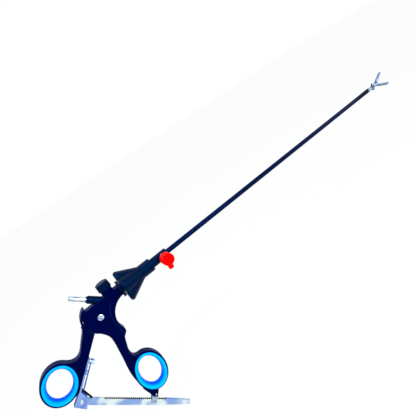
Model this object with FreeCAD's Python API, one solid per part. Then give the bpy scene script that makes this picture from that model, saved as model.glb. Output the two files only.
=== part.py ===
import FreeCAD, Part
import math
import os

# Laparoscopic grasper in millimetres. X runs along the shaft towards the jaws, Z is up, and
# the handle lies in the XZ plane. The origin is on the shaft axis at the hub's front face.

os.makedirs("parts", exist_ok=True)
V = FreeCAD.Vector
X_AXIS = V(1, 0, 0)
Y_AXIS = V(0, 1, 0)
Z_AXIS = V(0, 0, 1)

# Clearances
running = 0.05
seat = 0.02
gap = 0.3

# Shaft
tube_length = 325.0
tube_radius = 2.5
insulation_wall = 0.25
tube_wall = 0.5
sleeve_length = 22.0
rod_radius = 0.9
shaft_roll = -15.0

# Hub, collar, knob and flange, from the hub's front face backwards
hub_radius = 4.5
hub_length = 18.2
hub_spigot = 7.8
hub_spigot_radius = 4.0
collar_radius = 6.5
collar_length = 12.2
knob_length = 21.5
petal_count = 5
petal_radius = 16.0
petal_round = 7.5
petal_turn = 20.0
knob_core = 8.8
knob_nose_radius = 6.4
flange_radius = 8.3
flange_thickness = 2.4
spindle_radius = 4.2
spindle_length = 12.0
spindle_bore = 1.4
shank_radius = 2.6
shank_length = 17.0
groove_floor = 1.9
groove_width = 2.2

# Flushing port and its cap
port_back = 6.2
port_radius = 3.2
port_height = 16.5
port_bore = 2.1
port_lug = 3.8
cap_radius = 5.9
cap_height = 8.6
cap_skirt = 4.2
cap_waist = 0.5
cap_tab_length = 5.5
cap_tab_width = 5.0
cap_tab_lean = 3.0

# Handle
neck_length = 26.4
neck_half = 4.7
pivot_drop = 7.7
handle_half = 4.8
edge_round = 1.5
foot_half = 3.2
disc_radius = 14.9
disc_end_angle = 232.5
screw_radius = 2.0
screw_head = 2.75
screw_head_height = 0.8
nut_radius = 3.2
nut_height = 1.0

# Finger and thumb rings: half axes of the hole, tilt, and the soft insert around it
finger_ring = (4.3, -73.3)
finger_hole = (10.1, 15.5)
finger_tilt = 4.5
thumb_ring = (-58.2, -24.9)
thumb_hole = (10.6, 13.5)
thumb_tilt = 33.0
insert_proud = 0.4
insert_sunk = 0.6
insert_lip = 3.8
insert_wall = 2.0
ring_wall = 5.4
lip_round = 2.2

# Thumb lever
lever_half = 4.4
lever_round = 0.8
crescent_in = 15.2
crescent_out = 17.1
tongue_half = 2.0
eye_radius = 6.2
ball_radius = 1.8
fork_wall = 1.1
lever_swing = 14.0

# Release button
button_back = 63.8
turret_radius = 5.3
turret_top = 10.6
button_radius = 6.2
button_bottom = 9.3
button_height = 7.2
button_wall = 0.8
button_crown = 0.9
button_travel = 2.0
spring_mean = 4.2
spring_wire = 0.25
spring_turns = 3
stem_radius = 0.9
stem_offset = 2.9

# High-frequency plug: a 4 mm pin in a boss that leans back at 45 degrees
plug_pin_radius = 2.0
plug_pin_length = 14.2
plug_boss_radius = 3.5
plug_boss_length = 9.4
plug_collar_radius = 2.8
plug_root = 6.8
plug_shank_radius = 1.9
plug_root_radius = 1.6

# Ratchet: bracket on the lever, toothed bar, guide under the finger ring
bracket_start = 22.0
bracket_end = 51.5
bracket_thickness = 1.6
bracket_half = 2.9
cheek_in = 1.35
cheek_thickness = 1.1
bar_pivot = (-55.0, -50.8)
bar_angle = -49.56
bar_half = 1.2
bar_depth_root = 6.4
bar_depth_tip = 6.0
bar_length = 105.0
teeth_start = 19.0
teeth_count = 30
tooth_pitch = 2.0
tooth_depth = 0.9
bar_tail_depth = 4.2
bar_tail_rise = 0.8
bar_pin_radius = 1.25
guide_along = 66.8
guide_width = 6.0
guide_wall = 1.1
guide_web = 2.0
guide_lift = 0.7
guide_reach = 3.6
guide_tenon = 4.0
leaf_stand = 3.7
leaf_thickness = 0.4
leaf_half = 1.8
spring_screw_along = 25.0
bracket_screw_along = 35.0
cap_screw_radius = 1.1

# Jaws and linkage
clevis_radius = 2.33
clevis_length = 17.7
clevis_shank = 6.0
cheek_wall = 0.68
clevis_ear = 2.3
tail_thickness = 0.6
link_thickness = 0.45
side_gap = 0.05
link_length = 6.6
link_width = 1.6
link_closed = 9.6
jaw_open = 23.0
jaw_length = 20.2
jaw_root = 2.7
jaw_tip_height = 1.75
jaw_pin_radius = 0.6
link_pin_radius = 0.4
serration_pitch = 1.0
serration_depth = 0.3
claw_width = 0.66
claw_reach = 1.25

# Places worked out from the sizes
hub_back = -hub_length
collar_back = hub_back - collar_length
knob_back = collar_back - knob_length
flange_front = knob_back - gap
flange_back = flange_front - flange_thickness
pivot = V(flange_back - neck_length, 0, -pivot_drop)
steel_radius = tube_radius - insulation_wall
lumen_radius = steel_radius - tube_wall
jaw_pivot_x = tube_length + clevis_length
cheek_in_y = clevis_radius - cheek_wall
tail_out = cheek_in_y - side_gap
tail_in = tail_out - tail_thickness
link_out = tail_in - side_gap
link_in = link_out - link_thickness
tang_half = link_in - side_gap
link_open = link_closed + jaw_open
reach_closed = link_length * math.cos(math.radians(link_closed))
reach_open = link_length * math.cos(math.radians(link_open))
reach_middle = link_length * math.cos(math.radians((link_closed + link_open) / 2))
rod_travel = 2 * (reach_closed - reach_open)
# A constant ratio of lever to rod is off by this much in mid swing, half of it either way
linkage_error = 2 * reach_middle - reach_closed - reach_open
rod_pin_x = jaw_pivot_x - 2 * reach_open - linkage_error / 2
ball_x = pivot.x + pivot_drop * math.tan(math.radians(lever_swing / 2))


def from_pivot(x, z, y=0.0):
    """A point given from the handle's hinge."""
    return V(pivot.x + x, y, pivot.z + z)


def polar(radius, degrees, centre=pivot):
    """A point at a radius and angle about the hinge, in the handle's plane."""
    a = math.radians(degrees)
    return V(centre.x + radius * math.cos(a), 0, centre.z + radius * math.sin(a))


def line(a, b):
    return Part.makeLine(a, b)


def arc(a, middle_point, b):
    return Part.Arc(a, middle_point, b).toShape()


def curve(points):
    """A smooth curve through points."""
    c = Part.BSplineCurve()
    c.interpolate(points)
    return c.toShape()


def plate(edges, half, middle_y=0.0):
    """Closed edges in the XZ plane, thickened by half to each side."""
    wire = Part.Wire(edges)
    wire.translate(V(0, middle_y - half, 0))
    return Part.Face(wire).extrude(V(0, 2 * half, 0))


def polygon(points, half, middle_y=0.0):
    edges = [line(a, b) for a, b in zip(points, points[1:] + points[:1])]
    return plate(edges, half, middle_y)


def disc(centre, radius, half, middle_y=0.0):
    """A round plate in the XZ plane."""
    return Part.makeCylinder(radius, 2 * half, V(centre.x, middle_y - half, centre.z), Y_AXIS)


def rounded(shape, radius):
    """Round every edge that lies in a face square to Y."""
    edges = [e for e in shape.Edges if e.BoundBox.YLength < 1e-6]
    return shape.makeFillet(radius, edges)


def along_x(radius, x0, x1):
    return Part.makeCylinder(radius, x1 - x0, V(x0, 0, 0), X_AXIS)


def pipe_x(outer, inner, x0, x1):
    return along_x(outer, x0, x1).cut(along_x(inner, x0 - 1, x1 + 1))


def turned(points, start, axis):
    """A solid of revolution: (along, radius) pairs about an axis through start."""
    ring = [V(r, 0, a) for a, r in points]
    face = Part.Face(Part.makePolygon(ring + ring[:1]))
    solid = face.revolve(V(0, 0, 0), Z_AXIS, 360)
    solid.Placement = FreeCAD.Placement(start, FreeCAD.Rotation(Z_AXIS, axis))
    return solid


def ellipse_plate(centre, half_axes, grow, tilt, half):
    """An upright elliptical plate whose half axes both grow by the same length."""
    across = half_axes[0] + grow
    tall = half_axes[1] + grow
    wire = Part.Wire(Part.Ellipse(V(0, 0, 0), tall, across).toShape())
    solid = Part.Face(wire).extrude(V(0, 0, 2 * half))
    solid.translate(V(0, 0, -half))
    solid.rotate(V(0, 0, 0), X_AXIS, 90)
    solid.rotate(V(0, 0, 0), Y_AXIS, -90 + tilt)
    solid.translate(centre)
    return solid


def ring_point(place, hole, tilt, grow, degrees):
    """A point on a ring's outline, its angle measured from the short half axis."""
    t = math.radians(degrees)
    lean = math.radians(tilt)
    u = (hole[0] + grow) * math.cos(t)
    v = (hole[1] + grow) * math.sin(t)
    return from_pivot(place[0] + u * math.cos(lean) + v * math.sin(lean),
                      place[1] - u * math.sin(lean) + v * math.cos(lean))


def ring_insert(place, hole, tilt, ring_half):
    """Soft grommet: flared inside, with a groove outside that grips the ring."""
    centre = from_pivot(*place)
    half = ring_half + insert_proud
    body = rounded(ellipse_plate(centre, hole, insert_lip, tilt, half), insert_proud)
    groove = ellipse_plate(centre, hole, insert_lip + 1, tilt, ring_half - insert_sunk)
    groove = groove.cut(ellipse_plate(centre, hole, insert_wall, tilt, half))
    body = body.cut(groove).cut(ellipse_plate(centre, hole, 0, tilt, half + 1))
    inner = 2 * (hole[1] + 0.01)
    mouth = [e for e in body.Edges
             if abs(abs(e.CenterOfMass.y) - half) < 1e-3 and e.BoundBox.YLength < 1e-3
             and e.BoundBox.ZLength < inner]
    return body.makeFillet(lip_round, mouth)


def ring_cut(place, hole, tilt, ring_half):
    """The room that an insert needs in a ring."""
    centre = from_pivot(*place)
    room = ellipse_plate(centre, hole, insert_wall + seat, tilt, ring_half + 1)
    lips = ellipse_plate(centre, hole, insert_lip + seat, tilt, ring_half + 1)
    lips = lips.cut(ellipse_plate(centre, hole, insert_lip + 1, tilt, ring_half - insert_sunk - seat))
    return room.fuse(lips)


def housing_plate():
    """Hinge disc, neck, grip and finger ring in one outline."""
    top = -pivot.z + neck_half
    corner = math.degrees(math.asin(top / disc_radius))
    neck_top = V(flange_back, 0, neck_half)
    neck_bottom = V(flange_back, 0, -neck_half)
    disc_top = polar(disc_radius, 180 - corner)
    disc_end = polar(disc_radius, disc_end_angle)
    rear = [disc_end] + [from_pivot(x, z) for x, z in (
        (-6.4, -15.9), (-4.6, -20.5), (-4.5, -25.3), (-6.0, -35.3), (-8.2, -47.3), (-10.8, -61.5))]
    ring = [ring_point(finger_ring, finger_hole, finger_tilt, ring_wall, t) for t in range(180, 451, 15)]
    front = [ring[-1]] + [from_pivot(x, z) for x, z in (
        (1.1, -49.8), (0.5, -45.3), (1.6, -39.3), (3.8, -33.3), (5.8, -29.1),
        (9.0, -26.3), (9.8, -23.8), (9.1, -20.3), (8.5, -15.8), (9.8, -9.3), (12.8, -4.1),
        (17.8, 0.4))] + [neck_bottom]
    edges = [line(neck_top, disc_top), arc(disc_top, polar(disc_radius, 185), disc_end),
             curve(rear + ring), curve(front), line(neck_bottom, neck_top)]
    return rounded(plate(edges, handle_half), edge_round)


def guide_frame(along, up, y=0.0):
    """A point by its distance along the ratchet bar and above the bar's middle line."""
    a = math.radians(bar_angle)
    start = from_pivot(*bar_pivot)
    return V(start.x + along * math.cos(a) - up * math.sin(a), y,
             start.z + along * math.sin(a) + up * math.cos(a))


def foot():
    """The handle's foot under the finger ring, which holds the ratchet guide."""
    low = bar_depth_tip / 2 + guide_lift + guide_web
    points = [from_pivot(-11.2, -83.0), guide_frame(guide_along - guide_width * 0.62, low + 1.2),
              guide_frame(guide_along - guide_width * 0.5, low),
              guide_frame(guide_along + guide_width * 0.42, low), from_pivot(1.6, -91.5),
              from_pivot(1.6, -89.0)]
    return rounded(polygon(points, foot_half), 1.0)


def lever_slot():
    """Room in the housing for the lever's tongue, its fork and the rod's ball."""
    half = tongue_half + 0.15
    far = 2 * disc_radius
    room = disc(pivot, eye_radius + gap, half)
    room = room.fuse(polygon([pivot, polar(far, 149), polar(far, 190), polar(far, disc_end_angle + 0.7)],
                             half))
    reach = ball_x - pivot.x + ball_radius + fork_wall + 1.6
    box = Part.makeBox(2 * reach, 2 * half, pivot_drop + ball_radius + 1.2,
                       V(pivot.x - reach, -half, pivot.z))
    return room.fuse(box)


def plug_place(along):
    """A point on the plug's axis, which leans back over the housing."""
    d = along / math.sqrt(2)
    return V(pivot.x + plug_root - d, 0, neck_half + d)


PLUG_AXIS = V(-1, 0, 1)


def fixed_handle():
    """The held half: housing, neck, grip, finger ring, foot and button turret."""
    turret = Part.makeCylinder(turret_radius, turret_top - neck_half + 2, V(-button_back, 0, neck_half - 2))
    body = housing_plate().fuse(foot()).fuse(turret)
    body = body.cut(ring_cut(finger_ring, finger_hole, finger_tilt, handle_half))
    body = body.cut(lever_slot())
    body = body.cut(along_x(spindle_bore, pivot.x - 2, flange_back + 1))
    body = body.cut(along_x(shank_radius + seat, flange_back - shank_length - seat, flange_back + 1))
    body = body.cut(disc(pivot, screw_radius + seat, handle_half + 1))
    recess = Part.makeCylinder(spring_mean + spring_wire + gap, turret_top,
                               V(-button_back, 0, neck_half + 1.2))
    body = body.cut(recess)
    stem_hole = Part.makeCylinder(stem_radius + running, 3 * neck_half,
                                  V(-button_back, stem_offset, 0.4 - neck_half))
    body = body.cut(stem_hole)
    body = body.cut(Part.makeCylinder(plug_shank_radius + seat, 4, plug_place(-2), PLUG_AXIS))
    body = body.cut(polygon(tenon_corners(seat), cheek_in))
    return body.cut(disc(guide_pin_place(), 0.8 + seat, handle_half + 1))


def pivot_screw():
    """Slotted screw with a low domed head on the near side."""
    length = 2 * handle_half + nut_height
    head = [(0, 0), (0, screw_head), (-0.45, screw_head), (-screw_head_height, screw_head * 0.72),
            (-screw_head_height, 0)]
    screw = turned([(length, 0), (length, screw_radius), (0, screw_radius)] + head[1:],
                   V(pivot.x, -handle_half, pivot.z), Y_AXIS)
    slot = Part.makeBox(2 * screw_head, 0.8, 0.6,
                        V(pivot.x - screw_head, -handle_half - 1.2, pivot.z - 0.3))
    slot.rotate(pivot, Y_AXIS, 25)
    return screw.cut(slot)


def pivot_nut():
    """Round nut on the far side, with two spanner notches."""
    nut = disc(pivot, nut_radius, nut_height / 2, handle_half + nut_height / 2)
    nut = nut.cut(disc(pivot, screw_radius + seat, 3, handle_half))
    for side in (-1, 1):
        notch = Part.makeBox(1.0, 1.0, 0.9,
                             V(pivot.x + side * nut_radius - 0.5, handle_half + 0.5, pivot.z - 0.45))
        nut = nut.cut(notch)
    return nut


def nose_spindle():
    """Flange, the bearing for the knob in front and the locked shank behind."""
    front = flange_front + spindle_length
    body = along_x(flange_radius, flange_back, flange_front)
    body = body.fuse(along_x(spindle_radius, flange_front - 1, front))
    rims = [e for e in body.Edges if abs(e.Length - 2 * math.pi * flange_radius) < 0.01 and e.Closed]
    body = body.makeFillet(0.5, rims)
    body = body.fuse(along_x(shank_radius, flange_back - shank_length, flange_back + 1))
    body = body.cut(along_x(spindle_bore, flange_back - shank_length - 1, front + 1))
    clip_groove = pipe_x(spindle_radius + 1, spindle_radius - 0.8, front - 2.0, front - 1.0)
    lock_groove = pipe_x(shank_radius + 1, groove_floor, -button_back - groove_width / 2,
                         -button_back + groove_width / 2)
    return body.cut(clip_groove).cut(lock_groove)


def spindle_clip():
    """Open ring in the spindle's groove, which keeps the knob on."""
    front = flange_front + spindle_length
    ring = pipe_x(spindle_radius + 0.9, spindle_radius - 0.8 + seat,
                  front - 2.0 + seat, front - 1.0 - seat)
    mouth = Part.makeBox(3, 3, 3, V(front - 3, -1.5, -spindle_radius - 2))
    return ring.cut(mouth)


def hf_pin_insulator():
    """Boss of the plug, cut flat where it stands on the housing."""
    body = Part.makeCylinder(plug_boss_radius, plug_boss_length + plug_boss_radius + 1,
                             plug_place(-plug_boss_radius - 1), PLUG_AXIS)
    rim = [e for e in body.Edges if e.Closed and e.CenterOfMass.z > neck_half + 3]
    body = body.makeFillet(0.5, rim)
    collar = Part.makeCylinder(plug_collar_radius, 1.4, plug_place(plug_boss_length - 0.2), PLUG_AXIS)
    body = body.fuse(collar)
    under = Part.makeBox(40, 20, 20, V(plug_place(0).x - 20, -10, neck_half - 20))
    body = body.cut(under)
    body = body.fuse(Part.makeCylinder(plug_shank_radius, 4, plug_place(-1.8), PLUG_AXIS))
    socket = Part.makeCylinder(plug_root_radius + seat, 20, plug_place(plug_boss_length - 5), PLUG_AXIS)
    return body.cut(socket)


def hf_connector_pin():
    """Bare 4 mm plug pin with a bevelled end."""
    start = plug_boss_length - 5
    end = plug_boss_length + 1.2 + plug_pin_length
    shoulder = plug_boss_length + 1.2
    pin = Part.makeCylinder(plug_pin_radius, end - shoulder, plug_place(shoulder), PLUG_AXIS)
    root = Part.makeCylinder(plug_root_radius, shoulder - start + 1, plug_place(start), PLUG_AXIS)
    pin = pin.fuse(root)
    tip = [e for e in pin.Edges if e.Closed and e.CenterOfMass.z > plug_place(end - 1).z]
    return pin.makeChamfer(0.5, tip)


def tenon_corners(grow):
    """Corners of the guide's tenon inside the foot."""
    low = bar_depth_tip / 2 + guide_lift + guide_web
    half = guide_width / 2 - 0.8 + grow
    return [guide_frame(guide_along - half, low - 1), guide_frame(guide_along + half, low - 1),
            guide_frame(guide_along + half, low + guide_tenon + grow),
            guide_frame(guide_along - half, low + guide_tenon + grow)]


def guide_pin_place():
    low = bar_depth_tip / 2 + guide_lift + guide_web
    return guide_frame(guide_along, low + guide_tenon * 0.55)


def ratchet_guide():
    """Steel fork open downwards: its web is the pawl over the bar's teeth."""
    low = bar_depth_tip / 2 + guide_lift
    bottom = bar_depth_tip / 2 - guide_reach
    half = guide_width / 2
    body = polygon([guide_frame(guide_along - half, low), guide_frame(guide_along + half, low),
                    guide_frame(guide_along + half, low + guide_web),
                    guide_frame(guide_along - half, low + guide_web)], cheek_in + guide_wall)
    for side in (-1, 1):
        cheek = polygon([guide_frame(guide_along - half, low + guide_web),
                         guide_frame(guide_along + half, low + guide_web),
                         guide_frame(guide_along + half * 0.7, bottom),
                         guide_frame(guide_along - half * 0.7, bottom)],
                        guide_wall / 2, side * (cheek_in + guide_wall / 2))
        body = body.fuse(cheek)
    tenon = polygon(tenon_corners(0), cheek_in - seat)
    pawl = polygon([guide_frame(guide_along - 0.9, low + 0.2), guide_frame(guide_along + 0.9, low + 0.2),
                    guide_frame(guide_along + 0.3, low - 0.5)], cheek_in + 0.2)
    body = body.fuse(tenon).fuse(pawl)
    return body.cut(disc(guide_pin_place(), 0.8 + seat, handle_half + 1))


def guide_pin():
    return disc(guide_pin_place(), 0.8, foot_half)


# The lever's lower edge is straight: places along it, and out from it towards the bar
lever_low = from_pivot(-51.3, -41.6)
lever_corner = polar(crescent_in, 215.6)
LEVER_ALONG = V(lever_low).sub(lever_corner).normalize()
LEVER_OUT = V(-LEVER_ALONG.z, 0, LEVER_ALONG.x)


def lever_plate():
    """Thumb lever and thumb ring in one outline, with the crescent that hugs the housing."""
    tip_in = polar(crescent_in, 118)
    tip_out = polar(crescent_out, 118)
    tip_end = polar((crescent_in + crescent_out) / 2, 114.5)
    back = [polar(crescent_out, 158)] + [from_pivot(x, z) for x, z in (
        (-19.4, -1.3), (-24.5, -7.0), (-29.5, -12.7), (-32.5, -15.4), (-36.5, -16.7), (-40.0, -16.0))]
    ring = [ring_point(thumb_ring, thumb_hole, thumb_tilt, ring_wall, t) for t in range(73, 314, 12)]
    edges = [arc(tip_in, tip_end, tip_out), arc(tip_out, polar(crescent_out, 138), back[0]),
             curve(back + ring + [lever_low]), line(lever_low, lever_corner),
             arc(lever_corner, polar(crescent_in, 165), tip_in)]
    body = plate(edges, lever_half)
    long_edges = [e for e in body.Edges if e.BoundBox.YLength < 1e-6 and e.Length > 2 * disc_radius]
    return body.makeFillet(lever_round, long_edges)


def fork_place(across, up):
    """A point on the lever's fork, which leans forward at rest."""
    a = math.radians(lever_swing / 2)
    return from_pivot(across * math.cos(a) + up * math.sin(a), -across * math.sin(a) + up * math.cos(a))


def lever_tongue():
    """Thin tongue with the hinge eye and the fork that pulls the rod's ball."""
    body = polygon([polar(5.5, 151), polar(crescent_out + 1, 172), polar(crescent_out + 1, 203),
                    polar(5.5, 215)], tongue_half)
    body = body.fuse(disc(pivot, eye_radius, tongue_half))
    reach = pivot_drop / math.cos(math.radians(lever_swing / 2))
    wide = ball_radius + running + fork_wall
    arm = polygon([fork_place(-wide, 0), fork_place(wide, 0), fork_place(wide, reach + 1.5),
                   fork_place(-wide, reach + 1.5)], tongue_half)
    body = body.fuse(arm)
    slot = ball_radius + running
    floor = reach - slot - 0.2
    body = body.cut(polygon([fork_place(-slot, floor), fork_place(slot, floor),
                             fork_place(slot, reach + 3), fork_place(-slot, reach + 3)], tongue_half + 1))
    neck = rod_radius + 0.15
    return body.cut(polygon([fork_place(0, reach - neck - 0.2), fork_place(wide + 1, reach - neck - 0.2),
                             fork_place(wide + 1, reach + 3), fork_place(0, reach + 3)], neck))


def thumb_handle():
    """The moving half: lever, thumb ring, hinge tongue and fork."""
    body = lever_plate().cut(ring_cut(thumb_ring, thumb_hole, thumb_tilt, lever_half))
    body = body.fuse(lever_tongue())
    body = body.cut(disc(pivot, screw_radius + running, handle_half))
    for along in (spring_screw_along, bracket_screw_along):
        hole = Part.makeCylinder(cap_screw_radius + seat, 6, lever_frame(along, -5.9), LEVER_OUT)
        body = body.cut(hole)
    return body


def lever_frame(along, out, y=0.0):
    """A point by its distance along the lever's lower edge and out from it."""
    p = lever_corner + LEVER_ALONG * along + LEVER_OUT * out
    return V(p.x, y, p.z)


def lever_box(a0, a1, o0, o1, half):
    return polygon([lever_frame(a0, o0), lever_frame(a1, o0), lever_frame(a1, o1),
                    lever_frame(a0, o1)], half)


def ratchet_bracket():
    """Strip along the lever that ends in two cheeks joined by a back wall."""
    body = lever_box(bracket_start, bracket_end, 0, bracket_thickness, bracket_half)
    cheek = [from_pivot(x, z) for x, z in (
        (-52.2, -42.4), (-50.2, -42.9), (-49.6, -52.0), (-52.7, -55.7), (-55.9, -59.2), (-62.0, -49.6))]
    for side in (-1, 1):
        body = body.fuse(polygon(cheek, cheek_thickness / 2, side * (cheek_in + cheek_thickness / 2)))
    wall = polygon([cheek[0], from_pivot(-62.0, -49.6), from_pivot(-61.4, -50.6), from_pivot(-51.8, -43.6)],
                   cheek_in + cheek_thickness)
    body = body.fuse(wall)
    body = body.cut(disc(from_pivot(*bar_pivot), bar_pin_radius + seat, 6))
    for along in (spring_screw_along, bracket_screw_along):
        hole = Part.makeCylinder(cap_screw_radius + seat, 4, lever_frame(along, -1), LEVER_OUT)
        body = body.cut(hole)
    return body


def bracket_screw():
    """Cheese-head screw that clamps the strip to the lever."""
    head = turned([(0, 0), (0, 1.8), (-1.5, 1.8), (-1.5, 0.5), (-1.0, 0.5), (-1.0, 0)],
                  lever_frame(bracket_screw_along, bracket_thickness), LEVER_OUT * -1)
    shank = Part.makeCylinder(cap_screw_radius, bracket_thickness + 5.5,
                              lever_frame(bracket_screw_along, -5.5), LEVER_OUT)
    return head.fuse(shank)


def spring_screw_hole():
    return Part.makeCylinder(cap_screw_radius + seat, 9, lever_frame(spring_screw_along, -1), LEVER_OUT)


def spring_spacer():
    """Round stand-off between the strip and the leaf spring."""
    height = leaf_stand - bracket_thickness
    body = Part.makeCylinder(1.9, height, lever_frame(spring_screw_along, bracket_thickness), LEVER_OUT)
    return body.cut(spring_screw_hole())


def ratchet_leaf_spring():
    """Thin blade from its stand-off to the bar's release finger."""
    end = bracket_end - 1.9
    blade = lever_box(spring_screw_along - 2.4, end, leaf_stand, leaf_stand + leaf_thickness, leaf_half)
    return blade.cut(spring_screw_hole())


def spring_screw():
    """Notched-head screw through the leaf spring and its stand-off."""
    seat_out = leaf_stand + leaf_thickness
    start = lever_frame(spring_screw_along, seat_out)
    body = Part.makeCylinder(2.3, 2.2, start, LEVER_OUT)
    body = body.fuse(Part.makeCylinder(cap_screw_radius, seat_out + 5.5,
                                       lever_frame(spring_screw_along, -5.5), LEVER_OUT))
    count = 10
    for i in range(count):
        tooth = Part.makeCylinder(0.35, 3, start + Y_AXIS * 2.4, LEVER_OUT)
        tooth.rotate(start, LEVER_OUT, 360.0 * i / count)
        body = body.cut(tooth)
    return body


def ratchet_pivot_pin():
    """Rivet through the bracket's cheeks and the bar."""
    centre = from_pivot(*bar_pivot)
    outside = cheek_in + cheek_thickness
    pin = disc(centre, bar_pin_radius, outside + 0.1)
    for side in (-1, 1):
        pin = pin.fuse(disc(centre, bar_pin_radius + 0.5, 0.25, side * (outside + 0.25)))
    return pin


def ratchet_bar():
    """Toothed bar with a round hinge end and a smooth tapered tail."""
    root = bar_depth_root / 2
    tip = bar_depth_tip / 2
    teeth_end = teeth_start + teeth_count * tooth_pitch
    profile = [guide_frame(2.0, 2.2), guide_frame(7.0, tip), guide_frame(teeth_end + 1.5, tip),
               guide_frame(bar_length, -tip + bar_tail_rise + bar_tail_depth),
               guide_frame(bar_length + 0.6, -tip + bar_tail_rise + 0.8),
               guide_frame(bar_length - 0.4, -tip + bar_tail_rise), guide_frame(teeth_end, -tip),
               guide_frame(14.0, -root + 0.1), guide_frame(8.5, -root),
               guide_frame(2.0, -2.2)]
    body = polygon(profile, bar_half).fuse(disc(from_pivot(*bar_pivot), 2.9, bar_half))
    for i in range(teeth_count):
        a = teeth_start + i * tooth_pitch
        notch = polygon([guide_frame(a, tip + 0.1), guide_frame(a + tooth_pitch, tip + 0.1),
                         guide_frame(a + 0.4, tip - tooth_depth)], bar_half + 1)
        body = body.cut(notch)
    return body.cut(disc(from_pivot(*bar_pivot), bar_pin_radius + running, 6))


def ratchet_release_finger():
    """Black finger riveted to the bar's root; the leaf spring presses on its round tip."""
    tip_place = lever_frame(bracket_end - 1.5, leaf_stand - 1.05)
    foot_place = guide_frame(8.2, bar_depth_tip / 2 + 0.02)
    side = V(foot_place).sub(tip_place).normalize()
    cross = V(side.z, 0, -side.x) * 0.55
    body = polygon([tip_place + cross, foot_place + cross, foot_place - cross, tip_place - cross], bar_half)
    body = body.fuse(disc(tip_place, 0.85, bar_half))
    below = polygon([guide_frame(0, bar_depth_tip / 2), guide_frame(20, bar_depth_tip / 2),
                     guide_frame(20, -5), guide_frame(0, -5)], bar_half + 1)
    return body.cut(below)


def release_button():
    """Domed cap with a skirt that slides over the turret."""
    place = V(-button_back, 0, button_bottom)
    top = button_height - button_crown
    cavity = turret_radius + 0.15
    points = [(0, cavity), (0, button_radius), (top, button_radius - 0.25),
              (top + button_crown * 0.7, button_radius - 1.6), (button_height, 0),
              (top - button_wall, 0), (top - button_wall, cavity)]
    body = turned(points, place, Z_AXIS)
    socket = Part.makeCylinder(stem_radius + seat, 0.9,
                               V(-button_back, stem_offset, button_bottom + top - button_wall - 0.1))
    return body.cut(socket)


def button_stem():
    """Locking pin beside the shank: its notch frees the shank when pressed."""
    top = button_bottom + button_height - button_crown - button_wall
    low = -button_travel
    body = Part.makeCylinder(stem_radius, top + 0.7 - low, V(-button_back, stem_offset, low))
    notch = along_x(shank_radius + 0.1, -button_back - 3, -button_back + 3)
    notch.translate(V(0, 0, button_travel))
    return body.cut(notch)


def button_spring():
    """Coil of square wire between the turret's recess and the cap."""
    low = neck_half + 1.2 + spring_wire
    top = button_bottom + button_height - button_crown - button_wall - spring_wire
    height = top - low - 0.1
    path = Part.makeHelix(height / spring_turns, height, spring_mean)
    w = spring_wire
    corners = [V(spring_mean + x, 0, z) for x, z in ((w, w), (-w, w), (-w, -w), (w, -w))]
    coil = Part.Wire(path).makePipeShell([Part.makePolygon(corners + corners[:1])], True, True)
    coil.translate(V(-button_back, 0, low + 0.05))
    return coil


def petal(x, centre, radius):
    """One round section of a petal."""
    return Part.Wire(Part.makeCircle(radius, V(x, 0, centre), X_AXIS))


def rotation_knob():
    """Five tapered petals round a core, bored for the spindle."""
    centre = petal_radius - petal_round
    wide = knob_back + 3.0
    solid = along_x(knob_core, knob_back, knob_back + 6)
    for i in range(petal_count):
        front = Part.makeLoft([petal(wide, centre, petal_round),
                               petal(collar_back, 0.4, knob_nose_radius - 0.4)], True, True)
        rear = Part.makeLoft([petal(knob_back, centre - 0.6, petal_round - 3.2),
                              petal(knob_back + 0.8, centre - 0.25, petal_round - 1.3),
                              petal(wide, centre, petal_round)], True, True)
        lobe = front.fuse(rear)
        lobe.rotate(V(0, 0, 0), X_AXIS, 90 - petal_turn + 360.0 * i / petal_count)
        solid = solid.fuse(lobe)
    solid = solid.fuse(along_x(knob_nose_radius, collar_back - 4, collar_back))
    solid = solid.fuse(along_x(hub_spigot_radius, collar_back - 1, collar_back + 3.4))
    clip_back = flange_front + spindle_length - 2.0
    solid = solid.cut(along_x(spindle_radius + running, knob_back - 1, clip_back + seat))
    solid = solid.cut(along_x(spindle_radius + 0.9 + running, clip_back, clip_back + 2.0 + gap))
    return solid.cut(along_x(rod_radius + 0.3, knob_back, collar_back + 5)).removeSplitter()


def knob_collar():
    """Round collar that joins the knob to the sheath hub."""
    body = along_x(collar_radius, collar_back, hub_back)
    rim = [e for e in body.Edges if e.Closed and abs(e.CenterOfMass.x - hub_back) < 0.1]
    body = body.makeFillet(0.9, rim)
    return body.cut(along_x(hub_spigot_radius + seat, collar_back - 1, hub_back + 1))


def sheath_hub():
    """Hub that carries the tube, with a hole in its side for the port."""
    body = along_x(hub_radius, hub_back, 0)
    body = body.fuse(along_x(hub_spigot_radius, hub_back - hub_spigot, hub_back + 1))
    rim = [e for e in body.Edges if e.Closed and abs(e.CenterOfMass.x) < 0.1]
    body = body.makeChamfer(0.35, rim)
    body = body.cut(along_x(steel_radius + seat, hub_back - hub_spigot + 2.5, 1))
    body = body.cut(along_x(rod_radius + 0.3, hub_back - hub_spigot - 1, 1))
    body = body.cut(along_x(2.6 + seat, hub_back - hub_spigot - 1, hub_back - hub_spigot + 1.5))
    return body.cut(Part.makeCylinder(port_bore + seat, 9, V(-port_back, 0, 0), Y_AXIS * -1))


def hub_seal():
    """Washer seal round the rod at the back of the hub."""
    return pipe_x(2.6, rod_radius + 0.03, hub_back - hub_spigot, hub_back - hub_spigot + 1.5 - seat)


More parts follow.
